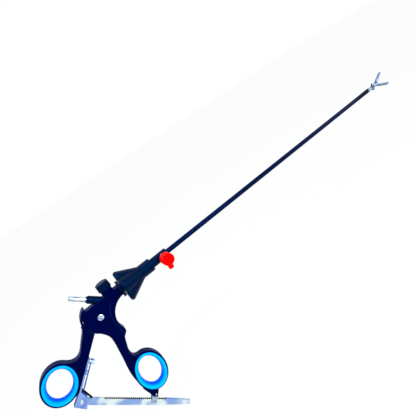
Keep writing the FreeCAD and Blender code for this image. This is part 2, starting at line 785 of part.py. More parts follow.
def luer_port():
    """Flushing port square to the shaft, with two lugs at its mouth."""
    out = Y_AXIS * -1
    start = V(-port_back, 0, 0)
    body = Part.makeCylinder(port_radius, port_height, start, out)
    body = body.cut(along_x(hub_radius + seat, -port_back - 8, -port_back + 8))
    stem = Part.makeCylinder(port_bore, port_height - tube_radius - 1, start + out * (tube_radius + 0.1), out)
    body = body.fuse(stem)
    lug = Part.makeCylinder(port_lug, 1.2, start + out * (port_height - 1.2), out)
    flats = Part.makeBox(12, 4, 2 * port_radius, V(-port_back - 6, -port_height - 1, -port_radius))
    body = body.fuse(lug.common(flats))
    bore = turned([(0, 0), (0, 1.0), (port_height - 8, 1.0), (port_height - 8, port_bore - 0.15),
                   (port_height + 1, port_bore), (port_height + 1, 0)], start, out)
    return body.cut(bore)


def luer_cap():
    """Soft cap: skirt with a pull tab behind, grip disc in front, plug inside."""
    out = Y_AXIS * -1
    base = port_height - cap_skirt
    start = V(-port_back, 0, 0)
    inside = port_lug + 0.1
    depth = port_height + 0.15
    points = [(base, inside), (base, cap_radius - 0.3), (base + 0.4, cap_radius), (base + 2.0, cap_radius),
              (base + 2.5, cap_radius - cap_waist), (base + cap_height - 2.8, cap_radius - cap_waist),
              (base + cap_height - 2.4, cap_radius), (base + cap_height - 0.4, cap_radius),
              (base + cap_height, cap_radius - 0.5), (base + cap_height, 0),
              (port_height - 3, 0), (port_height - 3, port_bore - 0.3), (depth, port_bore - 0.3),
              (depth, inside)]
    body = turned(points, start, out)
    tab = Part.makeBox(cap_tab_width, 2.0, cap_tab_length + 1.2,
                       V(-port_back - cap_tab_width / 2, -base - 2.0, -cap_radius - cap_tab_length))
    ends = [e for e in tab.Edges
            if abs(e.BoundBox.YLength - 2.0) < 1e-6 and e.CenterOfMass.z < -cap_radius - 1]
    tab = tab.makeFillet(1.6, ends)
    tab.rotate(start, Y_AXIS, cap_tab_lean)
    return body.fuse(tab)


def outer_tube():
    return pipe_x(steel_radius, lumen_radius, hub_back - hub_spigot + 2.5, tube_length)


def tube_insulation():
    return pipe_x(tube_radius, steel_radius + 0.01, 0, tube_length - sleeve_length)


def distal_sleeve():
    return pipe_x(tube_radius, steel_radius + 0.01, tube_length - sleeve_length, tube_length)


def rolled(shape):
    """Turn what is built with its hinge along Y to the shaft's roll."""
    shape.rotate(V(0, 0, 0), X_AXIS, shaft_roll)
    return shape


def clevis():
    """Two cheeks with the jaw hinge, on a shank that plugs the tube."""
    p = jaw_pivot_x
    body = along_x(clevis_radius, tube_length, p)
    body = body.fuse(along_x(lumen_radius - seat, tube_length - clevis_shank, tube_length + 0.5))
    body = body.fuse(disc(V(p, 0, 0), clevis_ear, 5).common(along_x(clevis_radius, p - 4, p + 4)))
    slot_start = rod_pin_x - rod_travel - link_width / 2 - 0.35
    slot = Part.makeBox(p + 5 - slot_start, 2 * cheek_in_y, 10, V(slot_start, -cheek_in_y, -5))
    body = body.cut(slot)
    body = body.cut(along_x(rod_radius + running, tube_length - clevis_shank - 1, slot_start + 1))
    body = body.cut(Part.makeBox(4.2, 10, 1.8, V(slot_start + 3.4, -5, -0.9)))
    for end in (3.4, 7.6):
        body = body.cut(disc(V(slot_start + end, 0, 0), 0.9, 5))
    return body.cut(disc(V(p, 0, 0), jaw_pin_radius + seat, 5))


def jaw_pivot_pin():
    flush = math.sqrt(clevis_radius ** 2 - jaw_pin_radius ** 2) - 0.02
    return disc(V(jaw_pivot_x, 0, 0), jaw_pin_radius, flush)


def tail_pin_place():
    """The lower tail pin of the upper jaw, jaws open."""
    a = math.radians(link_open)
    return V(jaw_pivot_x - link_length * math.cos(a), 0, -link_length * math.sin(a))


def jaw_blank():
    """A closed upper jaw lying along X: half round, tapering to the tip."""
    p = jaw_pivot_x
    skin = along_x(tube_radius - 0.05, p + jaw_root, p + jaw_length)
    keep = polygon([V(p + jaw_root, 0, 0.05), V(p + jaw_length, 0, 0.05),
                    V(p + jaw_length, 0, jaw_tip_height - 0.5), V(p + jaw_length - 0.7, 0, jaw_tip_height),
                    V(p + jaw_root + 5, 0, 2.4), V(p + jaw_root, 0, 2.45)], 5)
    return skin.common(keep)


def claws(positions):
    """Hooked teeth at the tip, each reaching past the closing plane."""
    p = jaw_pivot_x + jaw_length
    shapes = []
    for y in positions:
        points = [V(p - 1.5, 0, 1.5), V(p, 0, 1.5), V(p + 0.1, 0, -0.1), V(p - 0.4, 0, -claw_reach),
                  V(p - 1.0, 0, -0.5), V(p - 1.35, 0, 0.3)]
        shapes.append(polygon(points, claw_width / 2, y))
    return shapes


def jaw(side):
    """The upper jaw (side 1) as built open, or the lower jaw (side -1) as its mirror."""
    p = jaw_pivot_x
    body = jaw_blank()
    knuckle_half = (tail_out - side_gap) / 2
    knuckle_y = side_gap + knuckle_half
    root = disc(V(p, 0, 0), 1.75, knuckle_half, knuckle_y)
    root = root.fuse(polygon([V(p + 0.2, 0, 0.05), V(p + jaw_root + 1, 0, 0.05),
                              V(p + jaw_root + 1, 0, 1.9), V(p, 0, 1.75)], knuckle_half, knuckle_y))
    a = math.radians(link_closed)
    tail_end = V(p - link_length * math.cos(a), 0, -link_length * math.sin(a))
    across = V(math.sin(a), 0, -math.cos(a)) * 0.8
    arm = polygon([V(p, 0, 0) + across * 1.6, V(p, 0, 0) - across * 1.6,
                   tail_end - across, tail_end + across],
                  tail_thickness / 2, tail_in + tail_thickness / 2)
    arm = arm.fuse(disc(tail_end, 0.8, tail_thickness / 2, tail_in + tail_thickness / 2))
    body = body.fuse(root).fuse(arm)
    # The tip is notched to take the other jaw's claws, then gets its own
    body = body.cut(Part.makeBox(3, 8, 1.35, V(p + jaw_length - 1.6, -4, 0)))
    row = (-0.8, 0.8) if side > 0 else (-1.6, 0.0, 1.6)
    for tooth in claws(row):
        body = body.fuse(tooth.common(along_x(tube_radius - 0.05, p, p + jaw_length + 1)))
    count = int((jaw_length - jaw_root - 4) / serration_pitch)
    for i in range(count):
        x = p + jaw_root + 1.6 + i * serration_pitch
        body = body.cut(polygon([V(x - 0.35, 0, 0), V(x + 0.35, 0, 0), V(x, 0, 0.05 + serration_depth)], 5))
    groove = polygon_top([V(p + 3.6, -0.95, 0), V(p + 9, -0.8, 0), V(p + jaw_length - 2.5, -0.2, 0),
                          V(p + jaw_length - 2.5, 0.2, 0), V(p + 9, 0.8, 0), V(p + 3.6, 0.95, 0)], 1.35, 5)
    body = body.cut(groove)
    body = body.cut(disc(V(p, 0, 0), jaw_pin_radius + running, 5))
    body = body.cut(disc(tail_end, link_pin_radius + 0.01, 5))
    body.rotate(V(p, 0, 0), Y_AXIS, -jaw_open)
    if side < 0:
        body.rotate(V(p, 0, 0), X_AXIS, 180)
    return rolled(body)


def polygon_top(points, z0, height):
    """A prism standing on a polygon drawn in the XY plane."""
    face = Part.Face(Part.makePolygon(points + points[:1]))
    solid = face.extrude(V(0, 0, height))
    solid.translate(V(0, 0, z0))
    return solid


def tail_pin(side):
    """Pin that joins a jaw's tail to its link."""
    half = (tail_out - link_in) / 2
    pin = disc(tail_pin_place(), link_pin_radius, half, link_in + half)
    if side < 0:
        pin.rotate(V(jaw_pivot_x, 0, 0), X_AXIS, 180)
    return rolled(pin)


def link(side):
    """Link from the rod's pin to a jaw's tail; its far hole is long, to take the linkage's play."""
    near = V(rod_pin_x, 0, 0)
    a = math.radians(link_open)
    far = V(rod_pin_x + link_length * math.cos(a), 0, -link_length * math.sin(a))
    across = V(math.sin(a), 0, math.cos(a)) * (link_width / 2)
    middle_y = link_in + link_thickness / 2
    half = link_thickness / 2
    body = polygon([near + across, far + across, far - across, near - across], half, middle_y)
    for end in (near, far):
        body = body.fuse(disc(end, link_width / 2, half, middle_y))
    body = body.cut(disc(near, link_pin_radius + 0.03, 5))
    slack = linkage_error / 2
    hole = link_pin_radius + 0.06
    run = V(slack, 0, 0)
    body = body.cut(disc(far - run, hole, 5)).cut(disc(far + run, hole, 5))
    body = body.cut(Part.makeBox(2 * slack, 10, 2 * hole, V(far.x - slack, -5, far.z - hole)))
    if side < 0:
        body.rotate(V(jaw_pivot_x, 0, 0), X_AXIS, 180)
    return rolled(body)


def drive_rod():
    """Rod from the handle to the linkage, with a flat tang in front."""
    body = along_x(rod_radius, ball_x + 0.4, rod_pin_x - 2.0)
    tang = Part.makeBox(3.6, 2 * tang_half, 1.6, V(rod_pin_x - 2.8, -tang_half, -0.8))
    tang = tang.fuse(disc(V(rod_pin_x + 0.1, 0, 0), 0.8, tang_half))
    body = body.fuse(tang.common(along_x(rod_radius, rod_pin_x - 4, rod_pin_x + 2)))
    return rolled(body.cut(disc(V(rod_pin_x, 0, 0), link_pin_radius + 0.01, 5)))


def rod_link_pin():
    return rolled(disc(V(rod_pin_x, 0, 0), link_pin_radius, link_out))


def rod_end_ball():
    """Ball at the back end, which the lever's fork pulls."""
    body = Part.makeSphere(ball_radius, V(ball_x, 0, 0))
    return body.cut(along_x(rod_radius + 0.01, ball_x + 0.4, ball_x + 4))


NODES = {
    "fixed_handle": fixed_handle,
    "finger_ring_insert": lambda: ring_insert(finger_ring, finger_hole, finger_tilt, handle_half),
    "pivot_screw": pivot_screw,
    "pivot_nut": pivot_nut,
    "nose_spindle": nose_spindle,
    "hf_pin_insulator": hf_pin_insulator,
    "hf_connector_pin": hf_connector_pin,
    "ratchet_guide": ratchet_guide,
    "guide_pin": guide_pin,
    "thumb_handle": thumb_handle,
    "thumb_ring_insert": lambda: ring_insert(thumb_ring, thumb_hole, thumb_tilt, lever_half),
    "ratchet_bracket": ratchet_bracket,
    "bracket_screw": bracket_screw,
    "spring_spacer": spring_spacer,
    "spring_screw": spring_screw,
    "ratchet_leaf_spring": ratchet_leaf_spring,
    "ratchet_pivot_pin": ratchet_pivot_pin,
    "ratchet_bar": ratchet_bar,
    "ratchet_release_finger": ratchet_release_finger,
    "release_button": release_button,
    "button_stem": button_stem,
    "button_spring": button_spring,
    "rotation_knob": rotation_knob,
    "spindle_clip": spindle_clip,
    "knob_collar": knob_collar,
    "sheath_hub": sheath_hub,
    "hub_seal": hub_seal,
    "luer_port": luer_port,
    "luer_cap": luer_cap,
    "outer_tube": outer_tube,
    "tube_insulation": tube_insulation,
    "distal_sleeve": distal_sleeve,
    "clevis": lambda: rolled(clevis()),
    "jaw_pivot_pin": lambda: rolled(jaw_pivot_pin()),
    "upper_jaw": lambda: jaw(1),
    "upper_tail_pin": lambda: tail_pin(1),
    "upper_link": lambda: link(1),
    "lower_jaw": lambda: jaw(-1),
    "lower_tail_pin": lambda: tail_pin(-1),
    "lower_link": lambda: link(-1),
    "drive_rod": drive_rod,
    "rod_link_pin": rod_link_pin,
    "rod_end_ball": rod_end_ball,
}

for node, make in NODES.items():
    shape = make()
    if shape.ShapeType == "Compound" and len(shape.Solids) == 1:
        shape = shape.Solids[0]
    shape.exportStep("parts/" + node + ".step")
    print(node, shape.isValid(), len(shape.Solids), round(shape.Volume, 2))

print("jaw pivot", round(jaw_pivot_x, 4), "rod pin", round(rod_pin_x, 4), "rod travel", round(rod_travel, 4))
print("ball", round(ball_x, 4), "lever pivot", [round(v, 4) for v in pivot])
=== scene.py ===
# %% [markdown]
# # A laparoscopic grasper, dressed for its portrait
# The solids of the grasper come from the CAD frame: handle, ratchet, knob, shaft and jaws.
# This notebook gives every piece a finish, rebuilds the knob as one flowing surface, adds the
# small things a solid model leaves out, and then sets up light and camera.

# %% Load the frame
import bpy
import bmesh
import math
from mathutils import Matrix, Vector


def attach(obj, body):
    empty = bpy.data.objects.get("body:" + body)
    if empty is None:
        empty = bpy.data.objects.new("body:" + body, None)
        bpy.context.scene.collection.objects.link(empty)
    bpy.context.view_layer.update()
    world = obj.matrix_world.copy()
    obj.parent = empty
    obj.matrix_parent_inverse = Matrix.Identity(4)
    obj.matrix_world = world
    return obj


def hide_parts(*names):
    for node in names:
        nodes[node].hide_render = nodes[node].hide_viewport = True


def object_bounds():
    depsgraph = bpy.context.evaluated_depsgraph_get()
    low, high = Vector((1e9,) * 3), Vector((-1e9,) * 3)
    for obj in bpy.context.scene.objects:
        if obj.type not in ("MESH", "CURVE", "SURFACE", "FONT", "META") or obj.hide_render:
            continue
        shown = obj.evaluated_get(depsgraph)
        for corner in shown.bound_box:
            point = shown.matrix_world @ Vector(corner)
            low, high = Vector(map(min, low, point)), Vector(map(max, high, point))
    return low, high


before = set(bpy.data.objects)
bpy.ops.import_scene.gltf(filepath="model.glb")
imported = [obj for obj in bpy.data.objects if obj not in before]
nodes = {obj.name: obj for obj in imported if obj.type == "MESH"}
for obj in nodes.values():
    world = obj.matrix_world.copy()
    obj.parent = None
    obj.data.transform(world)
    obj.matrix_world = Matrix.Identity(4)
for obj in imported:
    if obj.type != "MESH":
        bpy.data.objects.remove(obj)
cad_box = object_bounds()
MM = 0.001

# %% [markdown]
# ## Colours and nodes
# Colours are written as the hex values that a screen shows. Blender's shaders want linear
# light, so one function converts them. A second small function adds a shader node, sets its
# values and links its inputs, which keeps each material readable as a recipe.

# %% Colour and node helpers
def hex_linear(code):
    channels = [int(code[i:i + 2], 16) / 255 for i in (1, 3, 5)]
    linear = [c / 12.92 if c <= 0.04045 else ((c + 0.055) / 1.055) ** 2.4 for c in channels]
    return (*linear, 1.0)


def add_node(tree, kind, settings=None, inputs=None):
    """Adds one node. An input is a value, or (node, output name) for a link."""
    node = tree.nodes.new(kind)
    for key, value in (settings or {}).items():
        setattr(node, key, value)
    for key, value in (inputs or {}).items():
        if isinstance(value, tuple) and len(value) == 2 and isinstance(value[0], bpy.types.Node):
            tree.links.new(value[0].outputs[value[1]], node.inputs[key])
        else:
            node.inputs[key].default_value = value
    return node


def new_finish(name, **sockets):
    """A material with one Principled shader, its constant values set on the sockets."""
    material = bpy.data.materials.new(name)
    material.use_nodes = True
    shader = material.node_tree.nodes["Principled BSDF"]
    for key, value in sockets.items():
        shader.inputs[key.replace("_", " ")].default_value = value
    return material, material.node_tree, shader


HANDLE_NAVY = "#000126"
print("the handle's navy in linear light:", [round(c, 4) for c in hex_linear(HANDLE_NAVY)])

# %% [markdown]
# ## One way to finish a piece
# Every piece that this notebook makes ends the same way: its mesh is in world coordinates in
# metres, it is shaded smooth with sharp edges kept by angle, it rides on a body of the grasper
# and it may stand for a CAD node. A piece that replaces a node sits exactly where the node was.

# %% Piece helpers
def closed_mesh(name, builder):
    """Merges doubles and turns all faces outwards."""
    bmesh.ops.remove_doubles(builder, verts=builder.verts, dist=1e-6)
    bmesh.ops.recalc_face_normals(builder, faces=builder.faces)
    mesh = bpy.data.meshes.new(name)
    builder.to_mesh(mesh)
    builder.free()
    return mesh


def settle(name, mesh, finish, body, stands_for=(), sharp_degrees=38):
    """Links a finished mesh as a piece of the grasper."""
    mesh.name = name
    mesh.materials.clear()
    mesh.materials.append(finish)
    for face in mesh.polygons:
        face.use_smooth = True
    mesh.set_sharp_from_angle(angle=math.radians(sharp_degrees))
    piece = bpy.data.objects.new(name, mesh)
    bpy.context.scene.collection.objects.link(piece)
    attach(piece, body)
    if stands_for:
        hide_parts(*stands_for)
    print(name, len(mesh.polygons), "faces on", body)


print("piece helpers ready")

# %% [markdown]
# ## Moulded plastics
# The handle halves are injection moulded in a black plastic that stands the steriliser. The
# mould was spark eroded, so the skin is satin with a fine grain. Knob and boss are smoother and
# show their highlights more sharply. A picture could be wrapped on for the grain, but it would
# need a flat layout of every piece. Noise in Object coordinates needs none, so it is used for
# the grain, which is drawn at 0.3 to 0.5 mm so that it shows, and for broad changes in gloss.

# %% Plastic finishes
def plastic_finish(name, colour, glint, sheen, level, roughness, grain_mm, bump_mm):
    """Level says how strongly the skin mirrors, and glint is the colour of what it mirrors."""
    material, tree, shader = new_finish(
        name, IOR=1.5, Specular_IOR_Level=level, Specular_Tint=hex_linear(glint),
        Sheen_Weight=sheen, Sheen_Roughness=0.35, Sheen_Tint=hex_linear("#1C62C0"))
    handling_mm, lighter = 22, 1.35
    place = add_node(tree, "ShaderNodeTexCoord")
    grain = add_node(tree, "ShaderNodeTexNoise", None,
                     {"Vector": (place, "Object"), "Scale": 1 / (grain_mm * MM), "Detail": 3.0})
    broad = add_node(tree, "ShaderNodeTexNoise", None,
                     {"Vector": (place, "Object"), "Scale": 1 / (handling_mm * MM), "Detail": 4.0})
    colours = add_node(tree, "ShaderNodeMix", {"data_type": "RGBA"}, {"Factor": (broad, "Fac")})
    colours.inputs["A"].default_value = hex_linear(colour)
    colours.inputs["B"].default_value = [c * lighter for c in hex_linear(colour)[:3]] + [1.0]
    gloss = add_node(tree, "ShaderNodeMapRange", None,
                     {"Value": (broad, "Fac"), "To Min": roughness - 0.05,
                      "To Max": roughness + 0.06})
    bump = add_node(tree, "ShaderNodeBump", None,
                    {"Height": (grain, "Fac"), "Distance": bump_mm * MM, "Strength": 0.5})
    tree.links.new(colours.outputs["Result"], shader.inputs["Base Color"])
    tree.links.new(gloss.outputs["Result"], shader.inputs["Roughness"])
    tree.links.new(bump.outputs["Normal"], shader.inputs["Normal"])
    return material


# Satin and nearly black, with a blue bloom where the skin turns away
handle_plastic = plastic_finish(
    "satin moulded PEEK, spark-eroded grain", HANDLE_NAVY, "#0080FF",
    sheen=0.3, level=0.05, roughness=0.40, grain_mm=0.5, bump_mm=0.02)
# Smoother, so the petals carry soft blue highlights along their backs
knob_plastic = plastic_finish(
    "smooth moulded PPSU, semi-gloss", "#000920", "#2CA0FF",
    sheen=0.07, level=0.13, roughness=0.25, grain_mm=0.4, bump_mm=0.010)
# The bead is a little lighter than the face beside it, a painted highlight along the edge
rim_plastic = plastic_finish(
    "moulded PEEK, rubbed rim", "#001040", "#2890FF",
    sheen=0.2, level=0.15, roughness=0.30, grain_mm=0.5, bump_mm=0.01)
# Cut on a lathe, with an even, slightly oily shine
boss_plastic = plastic_finish(
    "turned black POM, fine tool marks", "#000922", "#2898FF",
    sheen=0.04, level=0.11, roughness=0.30, grain_mm=0.3, bump_mm=0.015)
print("plastics:", handle_plastic.name, "|", knob_plastic.name)

# %% [markdown]
# ## Soft blue ring cushions
# The two grommets are moulded from a soft thermoplastic elastomer. Their lips catch the light
# and look cyan, and the throat lies in shade. Both are painted into the colour: a painted
# highlight on the lips and painted shade in the throat. Light under the skin could do this
# too, but slowly. Here the colour just follows the distance from the handle's middle plane,
# read from Object coordinates, and stays clean at any number of samples.

# %% Ring cushion finish
def cushion_finish():
    material, tree, shader = new_finish(
        "moulded blue elastomer", IOR=1.48, Roughness=0.34,
        Specular_IOR_Level=0.012, Specular_Tint=hex_linear("#10D0FF"))
    throat, lip, grain_mm, bump_mm = 2.4 * MM, 5.1 * MM, 0.6, 0.01
    place = add_node(tree, "ShaderNodeTexCoord")
    axes = add_node(tree, "ShaderNodeSeparateXYZ", None, {"Vector": (place, "Object")})
    depth = add_node(tree, "ShaderNodeMath", {"operation": "ABSOLUTE"}, {0: (axes, "Y")})
    rise = add_node(tree, "ShaderNodeMapRange", None,
                    {"Value": (depth, "Value"), "From Min": throat, "From Max": lip})
    colours = add_node(tree, "ShaderNodeMix", {"data_type": "RGBA"}, {"Factor": (rise, "Result")})
    # Painted shade: deep blue in the throat. Painted highlight: cyan on the lips.
    colours.inputs["A"].default_value = hex_linear("#0054F8")
    colours.inputs["B"].default_value = hex_linear("#00A2F6")
    grain = add_node(tree, "ShaderNodeTexNoise", None,
                     {"Vector": (place, "Object"), "Scale": 1 / (grain_mm * MM)})
    bump = add_node(tree, "ShaderNodeBump", None,
                    {"Height": (grain, "Fac"), "Distance": bump_mm * MM, "Strength": 0.4})
    tree.links.new(colours.outputs["Result"], shader.inputs["Base Color"])
    tree.links.new(bump.outputs["Normal"], shader.inputs["Normal"])
    return material


cushion_blue = cushion_finish()
print("cushion finish ready")

# %% [markdown]
# ## Steels
# The metal pieces are surgical stainless steel, and differ in how they were finished: ground,
# tumbled, blasted, polished, pickled or blackened. Grinding leaves fine parallel scratches. A
# bump for every scratch would cost many samples, so a noise is squeezed across the grinding
# direction instead and moves mostly the roughness. It is drawn at 0.25 to 0.5 mm so that it
# shows. A second, broad noise mixes two tones, a painted reflection like the room's
# reflections on real steel.

# %% Steel finishes
def steel_finish(name, colour, shade, roughness, stretch, scratch_mm, patch_mm, bump_mm):
    """Returns the material, its tree, shader and colour mix, so that a piece may add to it."""
    material, tree, shader = new_finish(name, Metallic=1.0, Specular_Tint=hex_linear("#3C5488"))
    place = add_node(tree, "ShaderNodeTexCoord")
    lines = add_node(tree, "ShaderNodeMapping", None,
                     {"Vector": (place, "Object"), "Scale": stretch})
    scratch = add_node(tree, "ShaderNodeTexNoise", None,
                       {"Vector": (lines, "Vector"), "Scale": 1 / (scratch_mm * MM),
                        "Detail": 5.0})
    patch = add_node(tree, "ShaderNodeTexNoise", None,
                     {"Vector": (place, "Object"), "Scale": 1 / (patch_mm * MM), "Detail": 2.0})
    # Painted reflection: broad patches of a lighter and a darker tone
    spread = add_node(tree, "ShaderNodeMapRange", {"interpolation_type": "SMOOTHSTEP"},
                      {"Value": (patch, "Fac"), "From Min": 0.36, "From Max": 0.62})
    colours = add_node(tree, "ShaderNodeMix", {"data_type": "RGBA"}, {"Factor": (spread, "Result")})
    colours.inputs["A"].default_value = hex_linear(shade)
    colours.inputs["B"].default_value = hex_linear(colour)
    gloss = add_node(tree, "ShaderNodeMapRange", None,
                     {"Value": (scratch, "Fac"), "To Min": roughness - 0.07,
                      "To Max": roughness + 0.08})
    bump = add_node(tree, "ShaderNodeBump", None,
                    {"Height": (scratch, "Fac"), "Distance": bump_mm * MM, "Strength": 0.4})
    tree.links.new(colours.outputs["Result"], shader.inputs["Base Color"])
    tree.links.new(gloss.outputs["Result"], shader.inputs["Roughness"])
    tree.links.new(bump.outputs["Normal"], shader.inputs["Normal"])
    return material, tree, shader, colours


# Cool and lightly streaked: the bracket and the leaf spring
blue_steel = steel_finish("stainless steel, ground and tumbled", "#90B0EA", "#5A7CCC",
                          0.34, (1.0, 1.0, 0.15), 0.5, 9, 0.02)[0]
# Even and grey, with no direction: the jaws and the clevis
satin_steel = steel_finish("stainless steel, glass-bead blasted", "#9CACC2", "#8191A8",
                           0.36, (1.0, 1.0, 1.0), 0.25, 3, 0.02)[0]
# Nearly a mirror, with rings from turning: pins and screws
bright_steel = steel_finish("stainless steel, turned and polished", "#E6F0F4", "#93A8C2",
                            0.20, (1.0, 0.2, 0.2), 0.4, 4, 0.004)[0]
# Duller, with patches of painted reflection: the guide and the small screws
shade_steel = steel_finish("stainless steel, pickled after welding", "#B8C8D8", "#7088A4",
                           0.34, (1.0, 1.0, 0.2), 0.4, 4, 0.02)[0]
# Black with a faint shine: links, clip and release finger
dark_steel = steel_finish("blackened spring steel", "#1C2028", "#0C0E14",
                          0.4, (1.0, 1.0, 1.0), 0.3, 3, 0.01)[0]
print("plain steels ready")

# %% [markdown]
# ## The ratchet bar's teeth
# The gaps between the teeth lie in shade, and that shade is painted into the bar's colour.
# The gaps could be a material of their own, but the bar's mesh is one CAD solid. So they are
# found in Object coordinates: a Mapping node turns the bar's line to the X axis, and faces
# that don't look sideways are darkened above the root of the teeth, as painted shade.

# %% Toothed steel
BAR_LEAN = math.radians(-49.56)
BAR_START = Vector((-136.0, 0.0, -58.5)) * MM
TOOTH_ROOT, FIRST_TOOTH, LAST_TOOTH = 1.7 * MM, 18.5 * MM, 79.3 * MM
SIDEWAYS = 0.5


def toothed_steel():
    material, tree, shader, colours = steel_finish(
        "stainless steel bar, black tooth gaps", "#EAF7F8", "#8FB0E4",
        0.28, (0.12, 1.0, 1.0), 0.5, 14, 0.02)
    start = Matrix.Rotation(BAR_LEAN, 3, "Y") @ BAR_START
    place = add_node(tree, "ShaderNodeTexCoord")
    on_bar = add_node(tree, "ShaderNodeMapping", None,
                      {"Vector": (place, "Object"), "Rotation": (0.0, BAR_LEAN, 0.0),
                       "Location": tuple(-start)})
    axes = add_node(tree, "ShaderNodeSeparateXYZ", None, {"Vector": (on_bar, "Vector")})
    surface = add_node(tree, "ShaderNodeNewGeometry")
    facing = add_node(tree, "ShaderNodeSeparateXYZ", None, {"Vector": (surface, "True Normal")})
    side = add_node(tree, "ShaderNodeMath", {"operation": "ABSOLUTE"}, {0: (facing, "Y")})
    # Mask of the painted shade: above the tooth root, between first and last tooth, not facing sideways
    black = 1.0
    for value, operation, limit in (((axes, "Z"), "GREATER_THAN", TOOTH_ROOT),
                                    ((axes, "X"), "GREATER_THAN", FIRST_TOOTH),
                                    ((axes, "X"), "LESS_THAN", LAST_TOOTH),
                                    ((side, "Value"), "LESS_THAN", SIDEWAYS)):
        passed = add_node(tree, "ShaderNodeMath", {"operation": operation}, {0: value, 1: limit})
        all_passed = add_node(tree, "ShaderNodeMath", {"operation": "MULTIPLY"},
                              {0: black, 1: (passed, "Value")})
        black = (all_passed, "Value")
    # Painted shade: the tooth gaps are turned nearly black
    final = add_node(tree, "ShaderNodeMix", {"data_type": "RGBA"},
                     {"Factor": black, "A": (colours, "Result")})
    final.inputs["B"].default_value = hex_linear("#0B0C12")
    tree.links.new(final.outputs["Result"], shader.inputs["Base Color"])
    return material


bar_steel = toothed_steel()
print("bar starts at", [round(v, 4) for v in BAR_START])

# %% [markdown]
# ## Insulation, sleeve and silicone
# The tube wears a shrunk black insulation with a semi-gloss skin. The end sleeve is a duller,
# darker band. The cap of the flushing port and the rod's seal are silicone rubber: dense
# colour, waxy sheen and almost no texture. They differ from the plastics only in having one
# colour all over, so this recipe is the plastic's, with the broad noise left out.

# %% Tube and rubber finishes
def skin_finish(name, colour, glint, sheen, level, roughness, ripple_mm, bump_mm):
    material, tree, shader = new_finish(
        name, IOR=1.46, Base_Color=hex_linear(colour), Roughness=roughness,
        Specular_IOR_Level=level, Specular_Tint=hex_linear(glint),
        Sheen_Weight=sheen, Sheen_Tint=hex_linear(glint))
    place = add_node(tree, "ShaderNodeTexCoord")
    ripple = add_node(tree, "ShaderNodeTexNoise", None,
                      {"Vector": (place, "Object"), "Scale": 1 / (ripple_mm * MM), "Detail": 2.0})
    bump = add_node(tree, "ShaderNodeBump", None,
                    {"Height": (ripple, "Fac"), "Distance": bump_mm * MM, "Strength": 0.5})
    tree.links.new(bump.outputs["Normal"], shader.inputs["Normal"])
    return material


# Long blue streak of light down the tube, faintly uneven where the hose shrank
tube_skin = skin_finish(
    "shrunk PTFE insulation, semi-gloss", "#00021E", "#2480F8",
    sheen=0.05, level=0.18, roughness=0.22, ripple_mm=1.6, bump_mm=0.008)
# No streak, so the end of the tube reads as a darker band
sleeve_skin = skin_finish(
    "end sleeve, matt dark polymer", "#020212", "#6088FF",
    sheen=0.05, level=0.12, roughness=0.45, ripple_mm=0.5, bump_mm=0.01)
# Full red with hardly a highlight
red_silicone = skin_finish(
    "moulded red silicone", "#E60000", "#FF5840",
    sheen=0.0, level=0.08, roughness=0.38, ripple_mm=0.8, bump_mm=0.01)
# Milky and dull
pale_silicone = skin_finish(
    "pale silicone seal", "#C4C8CE", "#FFFFFF",
    sheen=0.1, level=0.5, roughness=0.5, ripple_mm=0.8, bump_mm=0.01)
print("skins ready")

# %% [markdown]
# ## Dress the solids
# Each CAD node keeps its mesh and only gets its material slots reassigned, so the table below
# reads like a parts list with its finishes. Splitting the meshes would allow more finishes, but
# a real piece mostly has one.

# %% Assign finishes to the CAD nodes
FINISHES = {
    "fixed_handle": handle_plastic, "thumb_handle": handle_plastic,
    "finger_ring_insert": cushion_blue, "thumb_ring_insert": cushion_blue,
    "pivot_screw": bright_steel, "pivot_nut": bright_steel,
    "nose_spindle": boss_plastic, "spindle_clip": dark_steel,
    "hf_pin_insulator": boss_plastic, "hf_connector_pin": bright_steel,
    "ratchet_guide": shade_steel, "guide_pin": bright_steel,
    "ratchet_bracket": blue_steel, "bracket_screw": shade_steel,
    "spring_spacer": shade_steel, "spring_screw": shade_steel,
    "ratchet_leaf_spring": blue_steel, "ratchet_pivot_pin": bright_steel,
    "ratchet_bar": bar_steel, "ratchet_release_finger": dark_steel,
    "release_button": boss_plastic, "button_stem": bright_steel, "button_spring": bright_steel,
    "rotation_knob": knob_plastic, "knob_collar": knob_plastic, "sheath_hub": boss_plastic,
    "hub_seal": pale_silicone, "luer_port": bright_steel, "luer_cap": red_silicone,
    "outer_tube": satin_steel, "tube_insulation": tube_skin, "distal_sleeve": sleeve_skin,
    "clevis": satin_steel, "jaw_pivot_pin": satin_steel,
    "upper_jaw": satin_steel, "lower_jaw": satin_steel,
    "upper_tail_pin": dark_steel, "lower_tail_pin": dark_steel,
    "upper_link": dark_steel, "lower_link": dark_steel,
    "drive_rod": satin_steel, "rod_link_pin": satin_steel, "rod_end_ball": satin_steel,
}
for name, finish in FINISHES.items():
    if not nodes[name].material_slots:
        nodes[name].data.materials.append(finish)
    for slot in nodes[name].material_slots:
        slot.material = finish
print("nodes without a finish:", sorted(set(nodes) - set(FINISHES)))

# %% [markdown]
# ## The petalled rotation knob
# The surgeon turns the shaft with a forefinger on this knob: five rounded petals that grow from
# a slim nose. It could be cut and filleted as a solid, but its flowing skin follows one rule. At
# each place along the axis a petal is a circle, set off from the axis, and the skin's distance
# from the axis is where a ray meets the nearest circle. So Geometry Nodes evaluate that rule on
# a grid: one way of the grid goes round the axis, and the other goes along the bore, over the
# rear face, over the petals and back at the nose. The sizes are in millimetres and degrees.

